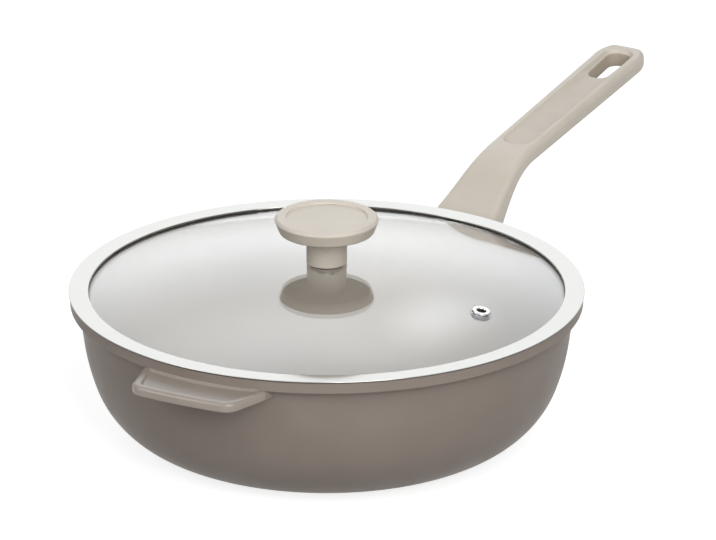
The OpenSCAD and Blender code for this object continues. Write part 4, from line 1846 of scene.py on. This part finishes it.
@dataclass
class Knob:
    """The moulded knob: a stem under a disc with a shallow round dish in its top."""

    lid: LidShape
    stem_r: float = 11.5
    stem_h: float = 18.5
    low_r: float = 26.9
    disc_r: float = 29.6
    disc_t: float = 8.8
    widest: float = 0.83
    dish_r: float = 23.2
    dish_depth: float = 1.0
    dish_lean: float = 0.4
    seat_t: float = 1.2
    insert_r: float = 4.5
    insert_len: float = 12.0
    foot_gap: float = 0.12
    # Roundings, from the insert's socket to the dish's floor
    insert_edge: float = 0.2
    seat_edge: float = 0.1
    foot_edge: float = 0.25
    throat_edge: float = 1.3
    disc_edge: float = 1.2
    dish_edge: float = 0.35
    dish_fillet: float = 0.3

    def build(self, paints: Paintbox) -> Thing:
        """Makes the knob by turning its profile about the axis.

        The profile runs from the insert's socket down round the seat and the foot, up the stem,
        out along the disc's underside, over its rim and into the dish.

        Args:
            paints: The finishes.

        Returns:
            The new piece.
        """
        apex = self.lid.apex_z
        low, top = apex + self.stem_h, apex + self.stem_h + self.disc_t
        wide, floor = low + self.widest * self.disc_t, top - self.dish_depth
        foot, seat = apex + self.foot_gap, apex + self.seat_t
        seat_r, socket = self.stem_r - 2.0 * self.seat_t, seat + self.insert_len
        profile = [((self.insert_r, socket), self.insert_edge),
                   ((self.insert_r, seat), self.insert_edge), ((seat_r, seat), self.seat_edge),
                   ((seat_r, foot), self.seat_edge), ((self.stem_r, foot), self.foot_edge),
                   ((self.stem_r, low), self.throat_edge), ((self.low_r, low), self.throat_edge),
                   ((self.disc_r, wide), self.disc_edge),
                   ((self.disc_r - (top - wide), top), self.disc_edge),
                   ((self.dish_r, top), self.dish_edge),
                   ((self.dish_r - self.dish_lean, floor), self.dish_fillet)]
        corners, radii = zip(*profile)
        path = rounded_path([(0.0, socket), *corners, (0.0, floor)], radii)
        knob = revolve("disc_knob", path, TURNS_KNOB, closed=False)
        paints.paint(knob, "cream")
        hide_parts("knob")
        return knob


@dataclass
class Hardware:
    """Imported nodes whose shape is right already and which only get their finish."""

    nodes: dict[str, Thing]

    def dress(self, paints: Paintbox) -> None:
        """Gives each node its finish.

        Args:
            paints: The finishes.
        """
        # The ring's bead is drawn black as painted shade of the gap between ring and glass
        finish_of = {
            "induction_plate": "plate", "handle_screw": "fastener",
            "handle_screw_washer": "fastener", "ring_bead": "gap_shade_silicone",
            "knob_insert": "brass", "knob_seat_washer": "silicone",
            "lid_lower_gasket": "silicone", "knob_screw_washer": "fastener",
            "knob_screw": "fastener", "vent_gasket": "gap_shade_silicone"}
        for node, finish in finish_of.items():
            paints.paint(self.nodes[node], finish)
            LOG.info("%s keeps its packed shape", node)


# The studio


@dataclass(frozen=True)
class SoftBox:
    """A flat lamp that faces the pan. Distances are in metres and power in watts.

    Its place is given as seen from the pan: a bearing counted from +X towards +Y, a height
    angle above the floor and a distance. Its height is its size, and its width is narrow times
    that. One that doesn't light is only seen in mirrors. soft is the share of the way from edge
    to middle over which it fades.
    """

    name: str
    bearing: float
    height: float
    distance: float
    size: float
    power: float
    lights: bool = True
    mirrored: bool = True
    soft: float = 0.0
    narrow: float = 1.0
    hex_light: str = "ffffff"
    aim_z: float = 0.06

    def soften(self, data: bpy.types.Light) -> None:
        """Lets the lamp fade towards its edges, as a soft box with one tube behind its cloth does.

        The strength is a smooth step over the distance from the lamp's middle.

        Args:
            data: The lamp.
        """
        data.use_nodes = True
        tree = data.node_tree
        tree.nodes.clear()
        place = add_node(tree, "ShaderNodeNewGeometry").outputs["Parametric"]
        flat = add_node(tree, "ShaderNodeVectorMath", {0: place, 1: (1.0, 1.0, 0.0)},
                        operation="MULTIPLY")
        away = add_node(tree, "ShaderNodeVectorMath", {
            0: flat.outputs["Vector"], 1: (0.5, 0.5, 0.0)}, operation="DISTANCE")
        level = add_node(tree, "ShaderNodeMapRange", {
            "Value": away.outputs["Value"], "From Min": 0.5, "From Max": 0.5 * (1.0 - self.soft),
            "To Min": 0.0, "To Max": 1.0}, interpolation_type="SMOOTHSTEP")
        glow = add_node(tree, "ShaderNodeEmission", {"Strength": level.outputs["Result"]})
        add_node(tree, "ShaderNodeOutputLight", {"Surface": glow.outputs["Emission"]})

    def build(self) -> None:
        """Places the lamp and turns it to face the pan."""
        data = bpy.data.lights.new(self.name, "AREA")
        data.shape = "RECTANGLE"
        data.size, data.size_y = self.size * self.narrow, self.size
        data.energy = self.power
        data.color = hex_colour(self.hex_light)[:3]
        if self.soft > 0.0:
            self.soften(data)
        thing = linked(self.name, data)
        a, e = math.radians(self.bearing), math.radians(self.height)
        away = Vector((math.cos(a) * math.cos(e), math.sin(a) * math.cos(e), math.sin(e)))
        spot = away * self.distance + Vector((0.0, 0.0, self.aim_z))
        turn = (-away).to_track_quat("-Z", "Y").to_matrix().to_4x4()
        thing.matrix_world = Matrix.Translation(spot) @ turn
        thing.visible_camera = False
        thing.visible_transmission = not self.lights
        thing.visible_glossy = self.mirrored
        thing.visible_diffuse = self.lights


@dataclass
class Studio:
    """Floor, lamps, surroundings and camera."""

    # Camera: its turn and tilt in degrees, its scale at the pan, and the point it looks at
    turn: float = -61.0
    tilt: float = 20.78
    distance_mm: float = 8000.0
    px_per_mm: float = 258.2 / 146.0
    centre_right_mm: float = 17.7
    centre_z_mm: float = 99.4
    sensor_mm: float = 36.0
    clip_m: tuple[float, float] = (0.5, 60.0)
    # Surroundings
    ambient: float = 0.25
    floor_half_mm: float = 9000.0
    floor_z_mm: float = -0.05
    paper: StudioPaper = StudioPaper("white_paper", "b8b8b8", 0.8)
    boxes: tuple[SoftBox, ...] = (
        SoftBox("key_box", 228.0, 45.0, 2.2, 1.2, 20.0),
        SoftBox("front_box", 225.0, 22.0, 2.6, 1.1, 26.0),
        SoftBox("back_box", 35.0, 16.0, 2.6, 1.4, 16.0, mirrored=False),
        SoftBox("left_box", 152.0, 32.0, 2.4, 1.2, 11.0),
        SoftBox("back_panel", 30.0, 31.0, 2.8, 3.8, 45.5, lights=False, soft=0.6,
                hex_light="f3faff"),
        SoftBox("upper_panel", 34.0, 48.0, 2.8, 1.9, 11.5, lights=False, soft=0.9,
                hex_light="f8fcff"),
        SoftBox("bright_panel", 18.8, 36.5, 2.7, 1.1, 1.8, lights=False, soft=1.0, narrow=0.45,
                hex_light="f8fcff"),
        SoftBox("rim_panel", 135.0, 28.0, 2.4, 1.6, 28.0, lights=False, soft=0.6,
                hex_light="f8fcff"))

    def camera(self) -> None:
        """Makes the camera: a long lens far away, so that the view is nearly parallel."""
        a, e = math.radians(self.turn), math.radians(self.tilt)
        right = Vector((math.cos(a), math.sin(a), 0.0))
        level = Vector((-math.sin(a), math.cos(a), 0.0))
        ahead = level * math.cos(e) - Vector((0.0, 0.0, math.sin(e)))
        up = right.cross(ahead)
        target = right * self.centre_right_mm + Vector((0.0, 0.0, self.centre_z_mm))
        data = bpy.data.cameras.new("camera")
        data.sensor_fit = "HORIZONTAL"
        data.sensor_width = self.sensor_mm
        data.lens = self.px_per_mm * self.distance_mm / WIDTH_PX * data.sensor_width
        data.clip_start, data.clip_end = self.clip_m
        thing = linked("camera", data)
        turn = Matrix((right, up, -ahead)).transposed().to_4x4()
        thing.matrix_world = Matrix.Translation((target - ahead * self.distance_mm) * MM) @ turn
        bpy.context.scene.camera = thing

    def floor(self) -> None:
        """Makes the floor: one wide flat sheet of white paper."""
        edge = np.linspace(-self.floor_half_mm, self.floor_half_mm, 3)
        x, y = np.meshgrid(edge, edge, indexing="ij")
        points = np.stack([x, y, np.full_like(x, self.floor_z_mm)], -1)
        floor = surface("floor", points, wrap_columns=False, caps=False)
        if floor.data.polygons[0].normal.z < 0.0:
            floor.data.flip_normals()
        floor.data.materials.append(self.paper.make())

    def surroundings(self) -> None:
        """Sets the world: white where it is seen or mirrored, softer where it lights the pan."""
        world = bpy.data.worlds.new("white_room")
        bpy.context.scene.world = world
        world.use_nodes = True
        tree = world.node_tree
        tree.nodes.clear()
        light, white = (add_node(tree, "ShaderNodeBackground", {"Color": WHITE, "Strength": level})
                        for level in (self.ambient, 1.0))
        both = add_node(tree, "ShaderNodeMixShader", {
            "Fac": seen(tree), 1: light.outputs["Background"], 2: white.outputs["Background"]})
        add_node(tree, "ShaderNodeOutputWorld", {"Surface": both.outputs["Shader"]})

    def build(self) -> None:
        """Sets up the whole studio."""
        bpy.context.scene.view_settings.view_transform = "Standard"
        self.camera()
        self.floor()
        for box in self.boxes:
            box.build()
        self.surroundings()


def main() -> None:
    """Loads the frame, builds every piece in order and reports it."""
    logging.basicConfig(level=logging.INFO, format="%(name)s: %(message)s")
    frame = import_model()
    Studio().build()
    paints = Paintbox()
    pan = PanShape()
    lid = LidShape(pan)
    handle = LongHandle(pan)
    body = CastBody(pan, lid.skirt_low)
    vent = SteamVent(lid)
    top = GlassLid(lid)
    on_pan = [*body.build(paints, handle.pad()), handle.build(paints)]
    on_lid = [top.glass(paints, vent), top.ring(paints), Knob(lid).build(paints),
              vent.build(paints)]
    for rider, pieces in ((Rider.PAN, on_pan), (Rider.LID, on_lid)):
        for piece in pieces:
            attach(piece, rider.value)
            faces = len(piece.data.polygons)
            LOG.info("%s rides on %s with %d faces", piece.name, rider.value, faces)
    Hardware(frame["nodes"]).dress(paints)


if __name__ == "__main__":
    main()
